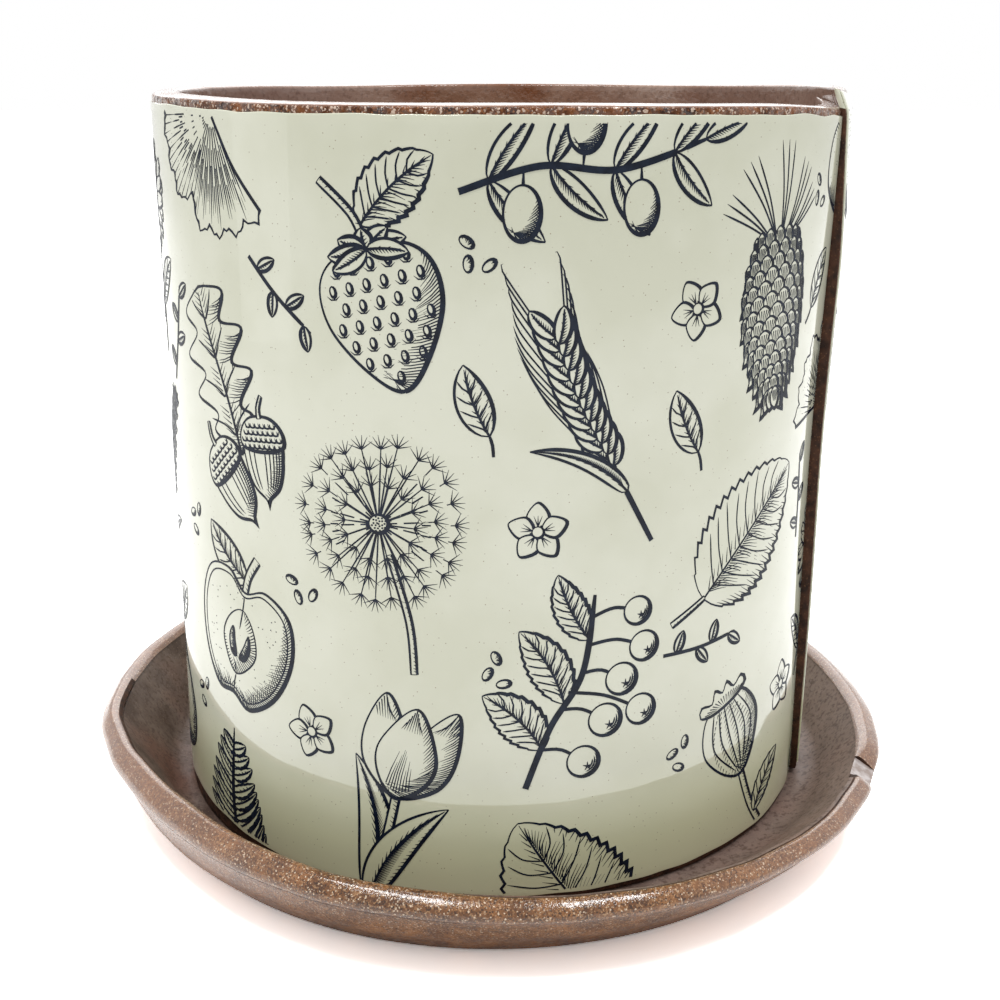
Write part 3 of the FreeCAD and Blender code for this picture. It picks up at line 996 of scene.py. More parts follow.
def tulip():
    d = Drawing(10)
    leaf(d, 0.5 - 22j, -9 + 6j, 7, -0.2, 0, 0, 0.6, 0.9)
    stalk(d, [0.5 - 22j, 0.8 - 10j, 0.2 + 2j], 1.7, 0.9)
    leaf(d, 0.8 - 22j, 10 + 2j, 6.5, 0.2, 0, 0, 0.6, 0.9)
    petals = ([-0.5 + 1j, -7 + 5j, -8.8 + 12j, -6.5 + 20j, -2 + 15j, 0 + 8j],
              [0.5 + 1j, 7 + 5j, 8.8 + 12j, 6.8 + 20.5j, 2 + 15j, 0 + 8j],
              [0 + 0.5j, -4.6 + 5j, -5.2 + 11j, -0.3 + 19j, 5.2 + 11j, 4.8 + 5j])
    for points in petals:
        outline = flowing(points, True)
        d.shape(outline)
        d.shade(outline, 5.5, 0.62, 42, 0)
        root, tip = points[0], points[3]
        for i in range(9):
            start = root + complex((i - 4) * 0.55, 1 + abs(i - 4) * 0.35)
            d.flick(start, start + (tip - start) * d.hand.uniform(0.25, 0.55), HAIR, 0.04)
            high = tip + complex((i - 4) * 0.3, -abs(i - 4) * 0.75)
            d.flick(high, tip * 0.75 + root * 0.25 + (i - 4) * 0.5, HAIR)
    return d


def lavender():
    d = Drawing(11)
    stem = flowing([2 - 24j, -0.5 - 8j, 0 + 6j, 1.5 + 21j])
    d.line(stem, LINE * 1.4, 1, 0.5)
    leaf(d, 1.2 - 17j, 10 - 5j, 2.4, 0.16, 0)
    leaf(d, 0.8 - 14j, -9 - 3j, 2.4, -0.16, 0)
    for whorl in range(8):
        root = point_along(stem, 0.46 + 0.54 * whorl / 8)[0]
        size = 1 - 0.06 * whorl
        for angle in (-62, 62, -34, 34, 0):
            tip = root + 1j * polar(4.8 * size, angle)
            leaf(d, root + (tip - root) * 0.15, tip, 2.5 * size, 0, 0, 0, 0.8, 0.5)
            for fan in (-28, 0, 28):
                d.flick(tip, tip + (tip - root) * polar(0.24, fan), FINE)
    return d


def poppy_head():
    d = Drawing(12)
    stalk(d, [3 - 24j, 0.6 - 14j, 0 - 4j], 1.5, 1.0)
    outline = flowing(both_sides([-1.4 - 5j, -5 - 1.5j, -7.6 + 4j, -6.6 + 9j, -3.6 + 12j]), True)
    d.shape(outline, LINE * 1.1)
    for lane in (-0.7, -0.4, -0.1, 0.2, 0.5, 0.78):
        rib = [complex(lane * 1.6, -4.2), complex(lane * 7.4, 4), complex(lane * 4.2, 11.6)]
        d.line(flowing(rib), FINE, 0.3, 0.3)
        for i in range(16):
            t = i / 16
            bulge = math.sin(math.pi * (0.1 + 0.86 * t))
            spot = complex(lane * (1.5 + 5.8 * bulge), -4 + 15.4 * t)
            d.flick(spot, spot + complex(-0.5 - 0.6 * (lane + 0.7), -0.7), HAIR)
    d.shade(outline, 5, 0.6, 20)
    crown = both_sides([-6.2 + 12.4j, -5.4 + 14.2j, -3 + 13.4j, -1.6 + 15.4j, 14j])
    d.shape(flowing(crown + [3 + 11.2j, -3 + 11.2j], True))
    for i in range(15):
        start = complex(-5.2 + 0.74 * i, 13.2 - 0.02 * (i - 7) ** 2)
        d.flick(start, complex(start.real * 0.5, 11.6), HAIR)
    leaf(d, 1.2 - 17j, 12 - 10j, 5.5, 0.15, 5, 7)
    return d


def berry_sprig():
    d = Drawing(13)
    twig = [-12 - 17j, -6 - 6j, 1 + 3j, 5 + 17j]
    for root, tip, width, bow in ((-8 - 10j, -17 + 2j, 8, -0.16), (-3 - 2j, -9 + 13j, 7.5, -0.14),
                                  (3 + 9j, -1 + 22j, 6, 0.1)):
        leaf(d, root, tip, width, bow, 6, 9)
    d.line(flowing(twig), LINE * 2, 1, 0.5)
    places = ((8 + 0j, 3), (13 + 5j, 2.8), (4 - 7j, 3.1), (11 - 7j, 2.9), (12.5 + 12j, 2.6), (-1 - 14j, 3))
    roots = (1 + 3j, 3 + 8j, -4 - 3j, -2 + 0j, 4 + 13j, -8 - 10j)
    for (centre, _), root in zip(places, roots):
        d.line(flowing([root, (root + centre) / 2 + 1.2j, centre]), LINE * 1.1, 1, 0.8)
    for centre, radius in places:
        berry(d, centre, radius, -60)
    return d


def ginkgo():
    d = Drawing(14)
    rim = []
    for i in range(61):
        angle = 22 + 136 * i / 60
        notch = 4.5 * math.exp(-((angle - 90) / 5) ** 2)
        reach = 19 + 0.7 * math.sin(i * 0.9) + 0.4 * math.sin(i * 2.3) - notch
        rim.append(-6j + polar(reach, angle))
    right = flowing([-6j, 3 - 4.4j, 9 - 1.5j, rim[0]])
    left = flowing([rim[-1], -9 - 1.5j, -3 - 4.4j, -6j])
    outline = right[:-1] + rim + left[1:]
    stalk(d, [3 - 22j, 1 - 14j, -5j], 1.3, 0.9)
    d.shape(outline)
    for i in range(3, 58):
        end = rim[i]
        near, far = (0.12, 0.45, 0.3, 0.6)[i % 4], d.hand.uniform(0.75, 0.97)
        d.line([-6j + (end + 6j) * t for t in (near, (near + far) / 2, far)], HAIR * 1.2, 0.8, 0.2)
        if i % 2 and i < 34:
            d.flick(end, -6j + (end + 6j) * d.hand.uniform(0.68, 0.85), HAIR)
    return d


def pine_cone():
    d = Drawing(15)
    for lane, reach in ((-1, 15), (-0.5, 17), (0.1, 18), (0.6, 16), (1, 14)):
        for fan in (-7, 0, 7):
            root = complex(lane * 2, 14)
            needle = polar(reach, 90 - 55 * lane + fan)
            d.line(flowing([root, root + needle * 0.5 + 0.6, root + needle]), FINE, 1, 0.2)
    for row in range(14):
        t = row / 13
        half = 9.6 * swell(0.12 + 0.8 * t, 0.5, 0.75)
        for i in sorted(range(-4, 5), key=abs, reverse=True):
            lane = (i + 0.5 * (row % 2)) * 0.3
            if abs(lane) > 1:
                continue
            place = complex(half * math.sin(lane * 1.5), 15 - 30 * t - 1.6 * lane * lane)
            size = 1.9 * math.cos(lane * 1.1) * (0.75 + 0.4 * math.sin(math.pi * t))
            tip = place + complex(lane * 1.4, -2.5)
            sides = (-size + 0.8j, -size * 0.9 - 1.3j), (size * 0.9 - 1.3j, size + 0.8j)
            left, right = ([place + corner for corner in side] for side in sides)
            d.shape(flowing(left + [tip] + right + [place + 2j], True, 0.6), LINE)
            for k in range(5):
                start = place + complex((k - 2) * size * 0.38, 1.2)
                d.flick(start, start * 0.42 + tip * 0.58, HAIR * 1.2)
    return d


def hazel_leaf():
    d = Drawing(16)
    leaf(d, -15j, 3 + 19j, 23, 0.05, 8, 15, 0.55, 0.75)
    stalk(d, [-2.5 - 23j, -1 - 18j, -14.6j], 1.2)
    return d


def apple_half():
    d = Drawing(17)
    leaf(d, 0.5 + 12j, -12 + 18j, 7, 0.15, 5)
    stalk(d, [0 + 9j, 0.4 + 13j, 2 + 17j], 1.4, 1.2)
    outline = both_sides([9.6j, 5 + 12j, 11 + 9.5j, 13 + 2j, 10.6 - 6.5j, 5 - 12j, -11j])
    outline = flowing(outline, True)
    d.shape(outline, LINE * 1.2)
    flesh = [p * 0.91 for p in outline]
    d.line(flesh, HAIR * 1.3, 1, 1)
    d.shade(outline, 3.4, 0.55, 30, -0.3)
    d.shade(flesh, 3, 0.7, -30, 0.2)
    core = flowing(both_sides([6j, 3.6 + 3j, 4.6 - 2j, -7j]), True)
    d.line(core, FINE, 0.6, 0.6)
    d.shade(core, 1.6, 0.6, 10, -1)
    for side in (-1, 1):
        pip = flowing([0.5 - 3.4j, 1.4 - 0.8j, 2.2 + 1.6j, 2.9 - 0.6j, 2 - 3.2j], True, 0.5)
        seed = [complex(side * p.real, p.imag) for p in pip]
        d.shape(seed, LINE * 1.1)
        d.shade(seed, 1.6, 0.3, 0, -0.6, FINE)
    d.line(flowing([8.5j, 6j, -0.3 + 2j]), FINE, 0.8, 0.2)
    d.line(flowing([-11j, -8.6j, 0.2 - 7j]), FINE, 0.8, 0.2)
    for i in range(60):
        spot = complex(d.hand.uniform(-10, 10), d.hand.uniform(-9, 9))
        if inside(spot, flesh) and not inside(spot, core) and abs(spot) > 5.5:
            d.dot(spot, HAIR)
    return d


def olive_sprig():
    d = Drawing(18)
    twig = flowing([-18 - 9j, -7 - 3j, 5 - 1j, 18 + 6j])
    d.line(twig, LINE * 1.9, 1, 0.5)
    for share, up, down in ((0.16, 52, -48), (0.38, 60, -44), (0.62, 48, -60), (0.84, 42, -50)):
        root = twig[int(share * (len(twig) - 1))]
        for angle in (up, down):
            tip = root + polar(12.5 - 2 * share, angle + 14)
            leaf(d, root, tip, 3.5, math.copysign(0.1, angle), 0)
    leaf(d, twig[-1], twig[-1] + polar(9, 30), 3.2, 0.08, 0)
    for share, angle in ((0.27, -80), (0.5, 98), (0.72, -76)):
        root = twig[int(share * (len(twig) - 1))]
        centre = root + polar(6.2, angle)
        d.line([root, (root + centre) / 2, centre], LINE)
        fruit = ring(centre, 4, 0.7, angle, 48)
        d.shape(fruit, LINE * 1.05)
        d.shade(fruit, 4, 0.45, 35)
        d.shade(fruit, 2, 0.6, -30, 0.3)
    return d


def seed_clock():
    """A round seed head, all fine spokes, on a bare stalk."""
    d = Drawing(19)
    stalk(d, [-3 - 24j, -0.6 - 14j, -1j], 1.2, 0.9)
    heart = 5j
    for layer, count, reach in ((0, 26, 14.5), (0.12, 20, 10.5), (0.3, 14, 6.8)):
        for i in range(count):
            way = cmath.rect(1, math.tau * (i / count + layer) + d.hand.uniform(-0.05, 0.05))
            tip = heart + way * reach * d.hand.uniform(0.94, 1.03)
            d.line([heart + way * 1.9, heart + way * reach * 0.6, tip], HAIR * 1.2, 1, 0.7)
            for fan in (-64, -38, -14, 14, 38, 64):
                d.flick(tip, tip + way * polar(2.6, fan), HAIR)
    d.shape(ring(heart, 1.9, 0.9), LINE)
    for i in range(22):
        d.dot(heart + cmath.rect(1.5 * math.sqrt(i / 22), i * 2.4), FINE)
    return d


def strawberry():
    d = Drawing(20)
    leaf(d, 0 + 12j, 14 + 19j, 9, 0.12, 6, 9)
    stalk(d, [0 + 9j, -1 + 14j, -5 + 20j], 1.1, 1)
    outline = flowing(both_sides([-14j, 5 - 10j, 9.6 - 2j, 9.4 + 5j, 4.6 + 8.6j]), True)
    d.shape(outline, LINE * 1.1)
    d.shade(outline, 7, 0.6, 30)
    for row in range(7):
        for i in range(-3, 4):
            spot = complex(i * 3 + (row % 2) * 1.5, 6.4 - row * 3)
            if inside(spot + 1.2 * SHADE, outline) and inside(spot - 1.2, outline):
                d.shape(ring(spot, 0.85, 0.6, 90, 10), FINE * 1.2)
                hollow = [spot + polar(1.3, a) for a in (200, 240, 280, 320)]
                d.line(hollow, HAIR, 0.2, 0.2)
    for angle in (14, 52, 90, 128, 166, 200, 340):
        way = polar(7, angle)
        leaf(d, 8.4j, 8.4j + complex(way.real, way.imag * 0.55 - 0.6), 3, 0.1, 0)
    return d


def small_leaf():
    d = Drawing(21)
    leaf(d, -5j, 1 + 6j, 5, 0.1, 4)
    d.line(flowing([-0.8 - 8j, -0.2 - 6.4j, -5j]), LINE, 0.9, 0.8)
    return d


def seeds():
    """Three loose seeds."""
    d = Drawing(22)
    for place, turn in ((0j, 20), (3.2 + 1.4j, 75), (1 - 3.4j, -30)):
        pip = ring(place, 1.35, 0.58, turn, 14)
        d.shape(pip, FINE * 1.2)
        d.shade(pip, 0.9, 0.35, 10, 0.1)
    return d


def floret():
    """A small open flower."""
    d = Drawing(23)
    for i in range(5):
        way = polar(1, 90 + 72 * i)
        petal = flowing([0.6 * way, way * (2.4 + 1.7j), way * 4.6, way * (2.4 - 1.7j)], True, 0.5)
        d.shape(petal, FINE * 1.3)
        for fan in (-14, 0, 14):
            d.flick(0.9 * way, way * polar(2.6, fan), HAIR)
    d.shape(ring(0j, 0.9, 1, 0, 12), FINE)
    return d


def bud_twig():
    """A short twig with small buds."""
    d = Drawing(24)
    twig = flowing([-7 - 4j, 0j, 7 + 5j])
    d.line(twig, LINE * 1.2, 1, 0.5)
    for share, angle in ((0.2, 100), (0.45, -20), (0.65, 105), (0.9, -5)):
        root = twig[int(share * (len(twig) - 1))]
        leaf(d, root, root + polar(4.2, angle), 1.9, 0, 0)
    return d


# The sheet's motifs: what, how far right of its middle and above the coat's foot (mm), turn and scale
FRUIT = (
    (pear, -92, 22, 12, 1.05), (apple_half, -55, 44, -14, 1.12), (oak, -54, 90, 22, 1),
    (strawberry, -19, 113, 15, 1.1), (berry_sprig, 16, 42, 8, 1.05), (olive_sprig, 16, 137, -12, 1.1),
    (pine_cone, 58, 107, 4, 1), (olive_sprig, 90, 0, 30, 1.1), (pear, 92, 137, -30, 1),
)
FLOWERS = (
    (lavender, -90, 70, -24, 1.05), (daisy, -93, 118, 14, 1.05), (tulip, -19, 19, -16, 1.05),
    (seed_clock, -19, 69, 18, 1), (poppy_head, 54, 20, 20, 1.1), (daisy, 89, 46, -24, 1),
    (floret, -36, 30, 20, 1.2), (floret, 8, 73, 0, 1.2), (floret, 37, 111, 30, 1.2),
    (floret, 71, 28, 0, 1.2), (floret, 109.5, 64, 10, 1.2),
)
LEAVES = (
    (fern, -55, 0, 24, 1.1), (ginkgo, -58, 137, 150, 1.05), (hazel_leaf, 15, -2, 40, 1.05),
    (wheat, 17, 90, 34, 1), (hazel_leaf, 53, 66, -46, 1), (ginkgo, 88, 90, 24, 1.05),
    (small_leaf, -3, 96, 25, 1.2), (small_leaf, 36, 90, 30, 1.2), (small_leaf, 77, 112, -30, 1.2),
    (bud_twig, -75, 101, 40, 1.2), (bud_twig, -40, 113, -75, 1.1), (bud_twig, 42, 46, -30, 1.1),
    (bud_twig, 76, 68, 60, 1.1), (seeds, -73, 28, 0, 1), (seeds, -72, 66, 0, 1), (seeds, -38, 57, 90, 1),
    (seeds, -1, 46, 40, 1), (seeds, -4, 120, 70, 1), (seeds, 36, 25, 10, 1), (seeds, 72, 128, 60, 1),
    (seeds, 106, 113, 0, 1), (seeds, 107, 44, 50, 1),
)

# The sheet goes twice round the pot; its lines stop short of the coat's edges and of the lap
SHEET_LENGTH = ONE_TURN / 2
PRINT_FROM_TOP = 1.3 * MM
PRINT_FROM_FOOT = 0.9 * MM
PRINT_FROM_LAP = 0.7 * MM

# A printed line's thickness as a share of its width, and how far its middle stands off the coat
INK_SHARE = 0.14
INK_PROUD = 0.006 * MM

# Points of a stroke nearer than this, in millimetres, count as one
TOUCHING = 0.01


def strokes_round_pot(motifs):
    """The strokes of some motifs, with the sheet laid along the whole slab and trimmed to its face."""
    sheet = Drawing()
    for motif, across, up, turn, scale in motifs:
        sheet.add(motif(), complex(across, up), turn, scale)
    laid = Drawing()
    for repeat in range(3):
        laid.add(sheet, repeat * SHEET_LENGTH / MM)
    left = (FLAP_END + PRINT_FROM_LAP) / MM
    right = (UNDER_FLAP - PRINT_FROM_LAP) / MM
    low = (POT_FOOT + PRINT_FROM_FOOT - coat_low.z) / MM
    high = (coat_high.z - coat_low.z - PRINT_FROM_TOP) / MM

    def off_the_face(point):
        foot = low + bare_foot(point.real * MM) / MM
        return not (left < point.real < right and foot < point.imag < high)

    laid.cut(off_the_face)
    return laid.strokes


def start_curve():
    """An empty flat curve, ready for its lines."""
    start_piece()
    bpy.ops.curve.primitive_bezier_curve_add()
    curve = bpy.context.active_object
    curve.data.dimensions = "2D"
    curve.data.fill_mode = "NONE"
    curve.data.splines.clear()
    return curve


def make_pen_nib():
    """The pen's flat section, one millimetre wide, which every printed line takes."""
    nib = start_curve()
    outline = nib.data.splines.new("POLY")
    outline.points.add(3)
    corners = ((-1, -1), (1, -1), (1, 1), (-1, 1))
    for point, (across, up) in zip(outline.points, corners):
        point.co = (across * MM / 2, up * INK_SHARE * MM / 2, 0, 1)
    outline.use_cyclic_u = True
    return nib


def draw_stroke(curve, points, widths):
    """One stroke of a flat curve, joined up where it ends at its start."""
    spots = [(points[0], widths[0])]
    for spot in zip(points, widths):
        if abs(spot[0] - spots[-1][0]) > TOUCHING:
            spots.append(spot)
    joined = len(spots) > 3 and abs(spots[-1][0] - spots[0][0]) < TOUCHING
    if joined:
        spots.pop()
    if len(spots) < 2:
        return
    spline = curve.data.splines.new("POLY")
    spline.points.add(len(spots) - 1)
    spline.use_cyclic_u = joined
    for place, (point, width) in zip(spline.points, spots):
        place.co = (point.real * MM, point.imag * MM, 0, 1)
        place.radius = width


def print_lines(name, motifs, nib):
    """Thin raised lines of ink, drawn flat with the pen and then rolled up with the slab."""
    curve = start_curve()
    for points, widths in strokes_round_pot(motifs):
        draw_stroke(curve, points, widths)
    curve.data.bevel_mode = "OBJECT"
    curve.data.bevel_object = nib
    curve.data.use_fill_caps = True
    bpy.ops.object.convert(target="MESH")
    lines = bpy.context.active_object
    lines.rotation_euler = (math.pi / 2, 0, 0)
    lines.location = (0, -COAT - INK_PROUD, coat_low.z)
    lines = named(name)
    roll_up(lines)
    tidy_mesh(lines, 30)
    return lines


def srgb(red, green, blue):
    """A colour from its screen values, 0 to 255."""
    def linear(value):
        share = value / 255
        return share / 12.92 if share <= 0.04045 else ((share + 0.055) / 1.055) ** 2.4
    return linear(red), linear(green), linear(blue), 1


def set_input(tree, socket, value):
    """Sets an input, or links it where the value comes from another node."""
    if isinstance(value, bpy.types.NodeSocket):
        tree.links.new(value, socket)
    else:
        socket.default_value = value


def add_node(tree, kind, **inputs):
    """A node with its inputs set or linked."""
    node = tree.nodes.new("ShaderNode" + kind)
    for name, value in inputs.items():
        set_input(tree, node.inputs[name.replace("_", " ")], value)
    return node


def new_finish(name, **sockets):
    """A finish with values set on its shader, and its node tree."""
    finish = bpy.data.materials.new(name)
    finish.use_nodes = True
    shade(finish.node_tree, **sockets)
    return finish, finish.node_tree


def shade(tree, **sockets):
    """Sets or links the shader's own inputs."""
    for name, value in sockets.items():
        set_input(tree, tree.nodes["Principled BSDF"].inputs[name.replace("_", " ")], value)


def spread(tree, value, low, high, to_low=0.0, to_high=1.0):
    """A value between two limits, spread over a new range and held within it."""
    return add_node(tree, "MapRange", Value=value, From_Min=low, From_Max=high,
                    To_Min=to_low, To_Max=to_high).outputs["Result"]


def clouds(tree, per_metre, detail):
    """Soft patches, so many to a metre."""
    place = add_node(tree, "TexCoord").outputs["Object"]
    cloud = add_node(tree, "TexNoise", Vector=place, Scale=per_metre, Detail=detail, Roughness=0.55)
    return cloud.outputs[0]


def patches(tree, per_metre, detail, low, high, to_low=0.0, to_high=1.0):
    """Soft patches, so many to a metre, spread over a range."""
    return spread(tree, clouds(tree, per_metre, detail), low, high, to_low, to_high)


def roughness(tree, per_metre, smoothest, roughest):
    """A roughness that varies in small patches."""
    return patches(tree, per_metre, 3, 0.3, 0.7, smoothest, roughest)


def grains(tree, per_metre):
    """Loose grains, so many to a metre: the distance from each grain's middle, and a tone per grain."""
    place = add_node(tree, "TexCoord").outputs["Object"]
    cells = add_node(tree, "TexVoronoi", Vector=place, Scale=per_metre)
    return cells.outputs["Distance"], cells.outputs["Color"]


def blended(tree, share, first, second):
    """One colour or the other, by a share."""
    mix = tree.nodes.new("ShaderNodeMix")
    mix.data_type = "RGBA"
    for index, value in ((0, share), (6, first), (7, second)):
        set_input(tree, mix.inputs[index], value)
    return mix.outputs[2]


def mottled(tree, per_metre, detail, first, second, low=0.35, high=0.65):
    """Two colours in soft patches, so many to a metre."""
    return blended(tree, patches(tree, per_metre, detail, low, high), first, second)


def bumpy(tree, height, depth, under=None):
    """The surface's slope under bumps of some depth, laid over earlier bumps."""
    bump = add_node(tree, "Bump", Height=height, Distance=depth)
    if under:
        tree.links.new(under, bump.inputs["Normal"])
    return bump.outputs["Normal"]


def place_share(tree, axis, low, high, most=1.0):
    """How far along an axis a point is between two places, from 0 to 1 or less."""
    place = add_node(tree, "TexCoord").outputs["Object"]
    return spread(tree, add_node(tree, "SeparateXYZ", Vector=place).outputs[axis], low, high, 0, most)


def times(tree, first, second):
    """One value times another."""
    product = add_node(tree, "Math")
    product.operation = "MULTIPLY"
    set_input(tree, product.inputs[0], first)
    set_input(tree, product.inputs[1], second)
    return product.outputs[0]


def make_pale_slip():
    """Cream slip under clear glaze, faintly cloudy, with fine brown specks, and paler and yellower towards
    its foot as painted light.
    """
    finish, tree = new_finish("pale_slip", Specular_IOR_Level=0.1, Coat_Weight=1, Coat_Roughness=0.03)
    cream = mottled(tree, 38, 3, srgb(196, 197, 175), srgb(206, 207, 188), 0.38, 0.62)
    # Paler, yellower cream low on the wall: painted light that offsets the saucer's shade there
    cream = blended(tree, place_share(tree, "Z", 16 * MM, 32 * MM), srgb(214, 216, 180), cream)
    speck, _ = grains(tree, 720)
    cream = blended(tree, spread(tree, speck, 0.1, 0.05, 0, 0.75), cream, srgb(122, 102, 78))
    ripples = bumpy(tree, clouds(tree, 60, 1), 0.06 * MM)
    rough = roughness(tree, 300, 0.42, 0.58)
    shade(tree, Base_Color=cream, Roughness=rough, Normal=ripples, Coat_Normal=ripples, Coat_IOR=1.7)
    return finish


def make_navy_ink():
    """Navy ink with a thinner gloss, a little uneven along its lines."""
    finish, tree = new_finish("navy_ink", Specular_IOR_Level=0, Coat_Weight=0.35, Coat_Roughness=0.03)
    navy = mottled(tree, 500, 3, srgb(8, 16, 30), srgb(24, 34, 50))
    rough = roughness(tree, 900, 0.4, 0.6)
    ripples = bumpy(tree, clouds(tree, 60, 1), 0.06 * MM)
    shade(tree, Base_Color=navy, Roughness=rough, Normal=ripples, Coat_Normal=ripples)
    return finish


def make_chestnut_clay():
    """Dark stoneware under a glossy glaze, rough with fine pale grog, and near-white specks that are painted
    glints.
    """
    finish, tree = new_finish("chestnut_clay", Specular_IOR_Level=0.1, Coat_Roughness=0.04)
    clay = mottled(tree, 260, 5, srgb(44, 18, 4), srgb(114, 66, 30))
    grit, tone = grains(tree, 2800)
    clay = blended(tree, spread(tree, tone, 0.6, 0.9, 0, 0.5), clay, srgb(170, 112, 70))
    # Near-white specks: painted glints of the glaze
    clay = blended(tree, spread(tree, tone, 0.27, 0.2, 0, 0.6), clay, srgb(232, 208, 188))
    pits = bumpy(tree, clouds(tree, 1200, 3), 0.2 * MM)
    grog = bumpy(tree, spread(tree, grit, 0.45, 0.1), 0.06 * MM, pits)
    rough = roughness(tree, 700, 0.3, 0.5)
    gloss = patches(tree, 650, 2, 0.42, 0.56, 0.15, 1)
    shade(tree, Base_Color=clay, Roughness=rough, Normal=grog, Coat_Weight=gloss, Coat_Normal=grog)
    return finish


def make_glazed_clay():
    """The pot's inside: brown glaze with fine pits and red patches; its greyish patches, where the gloss is
    strongest, are painted reflection, and its paler, greyer sides are painted light and painted sheen.
    """
    finish, tree = new_finish("glazed_clay", Specular_IOR_Level=0.1, Coat_Roughness=0.07)
    # Greyish patches, on the same noise as the stronger gloss below: painted reflection
    clay = mottled(tree, 30, 3, srgb(108, 60, 24), srgb(156, 126, 108), 0.4, 0.62)
    # Paler grey towards the right: painted light
    clay = blended(tree, place_share(tree, "X", 10 * MM, 60 * MM, 0.5), clay, srgb(158, 138, 128))
    clay = blended(tree, patches(tree, 45, 2, 0.55, 0.7, 0, 0.7), clay, srgb(112, 60, 22))
    # Greyer towards the left: painted sheen
    clay = blended(tree, place_share(tree, "X", -18 * MM, -45 * MM, 0.75), clay, srgb(150, 126, 116))
    clay = blended(tree, patches(tree, 900, 3, 0.5, 0.7, 0, 0.4), clay, srgb(70, 44, 28))
    dents = bumpy(tree, clouds(tree, 120, 2), 0.25 * MM)
    pits = bumpy(tree, clouds(tree, 650, 3), 0.1 * MM, dents)
    rough = roughness(tree, 500, 0.3, 0.45)
    gloss = patches(tree, 30, 3, 0.35, 0.6, 0.5, 1)
    shade(tree, Base_Color=clay, Roughness=rough, Normal=pits, Coat_Weight=gloss, Coat_Normal=pits)
    return finish


def make_raw_clay_and_shade():
    """Bare dark stoneware, dull and a little gritty; in the rim strip's groove, split and front hollow it is
    painted shade.
    """
    finish, tree = new_finish("raw_clay_and_shade", Specular_IOR_Level=0.2)
    clay = mottled(tree, 400, 4, srgb(36, 21, 14), srgb(76, 48, 33))
    grit, _ = grains(tree, 1600)
    clay = blended(tree, spread(tree, grit, 0.28, 0.16, 0, 0.35), clay, srgb(128, 92, 66))
    tooth = bumpy(tree, clouds(tree, 1300, 4), 0.12 * MM)
    rough = roughness(tree, 700, 0.55, 0.75)
    shade(tree, Base_Color=clay, Roughness=rough, Normal=tooth)
    return finish


def make_satin_clay():
    """The saucer's smooth grey-brown inside, mottled with reddish patches, and paler on the right as painted
    light.
    """
    finish, tree = new_finish("satin_clay", Specular_IOR_Level=0.2, Coat_Weight=0.08, Coat_Roughness=0.25)
    clay = mottled(tree, 110, 5, srgb(78, 61, 52), srgb(122, 105, 96))
    clay = blended(tree, patches(tree, 55, 2, 0.48, 0.66, 0, 0.7), clay, srgb(106, 70, 56))
    # Paler towards the right: painted light
    clay = blended(tree, place_share(tree, "X", -10 * MM, 80 * MM, 0.6), clay, srgb(146, 126, 117))
    clay = blended(tree, patches(tree, 1000, 2, 0.5, 0.66, 0, 0.6), clay, srgb(64, 46, 38))
    grit, _ = grains(tree, 1500)
    clay = blended(tree, spread(tree, grit, 0.24, 0.12, 0, 0.4), clay, srgb(160, 134, 110))
    dents = bumpy(tree, clouds(tree, 150, 2), 0.2 * MM)
    tooth = bumpy(tree, clouds(tree, 1400, 3), 0.04 * MM, dents)
    rough = roughness(tree, 240, 0.42, 0.58)
    shade(tree, Base_Color=clay, Roughness=rough, Normal=tooth, Coat_Normal=tooth)
    return finish


def make_painted_gap_highlight():
    """The dish's cut edge, seen between the rim strip's two ends, pale pinkish grey as a painted highlight.
    """
    finish, tree = new_finish("painted_gap_highlight", Specular_IOR_Level=0.3, Coat_Weight=0.7, Coat_Roughness=0.08)
    highlight_tone = mottled(tree, 500, 3, srgb(150, 132, 124), srgb(196, 186, 184), 0.4, 0.62)
    dents = bumpy(tree, clouds(tree, 350, 2), 0.15 * MM)
    rough = roughness(tree, 700, 0.3, 0.5)
    shade(tree, Base_Color=highlight_tone, Roughness=rough, Normal=dents, Coat_Normal=dents)
    return finish


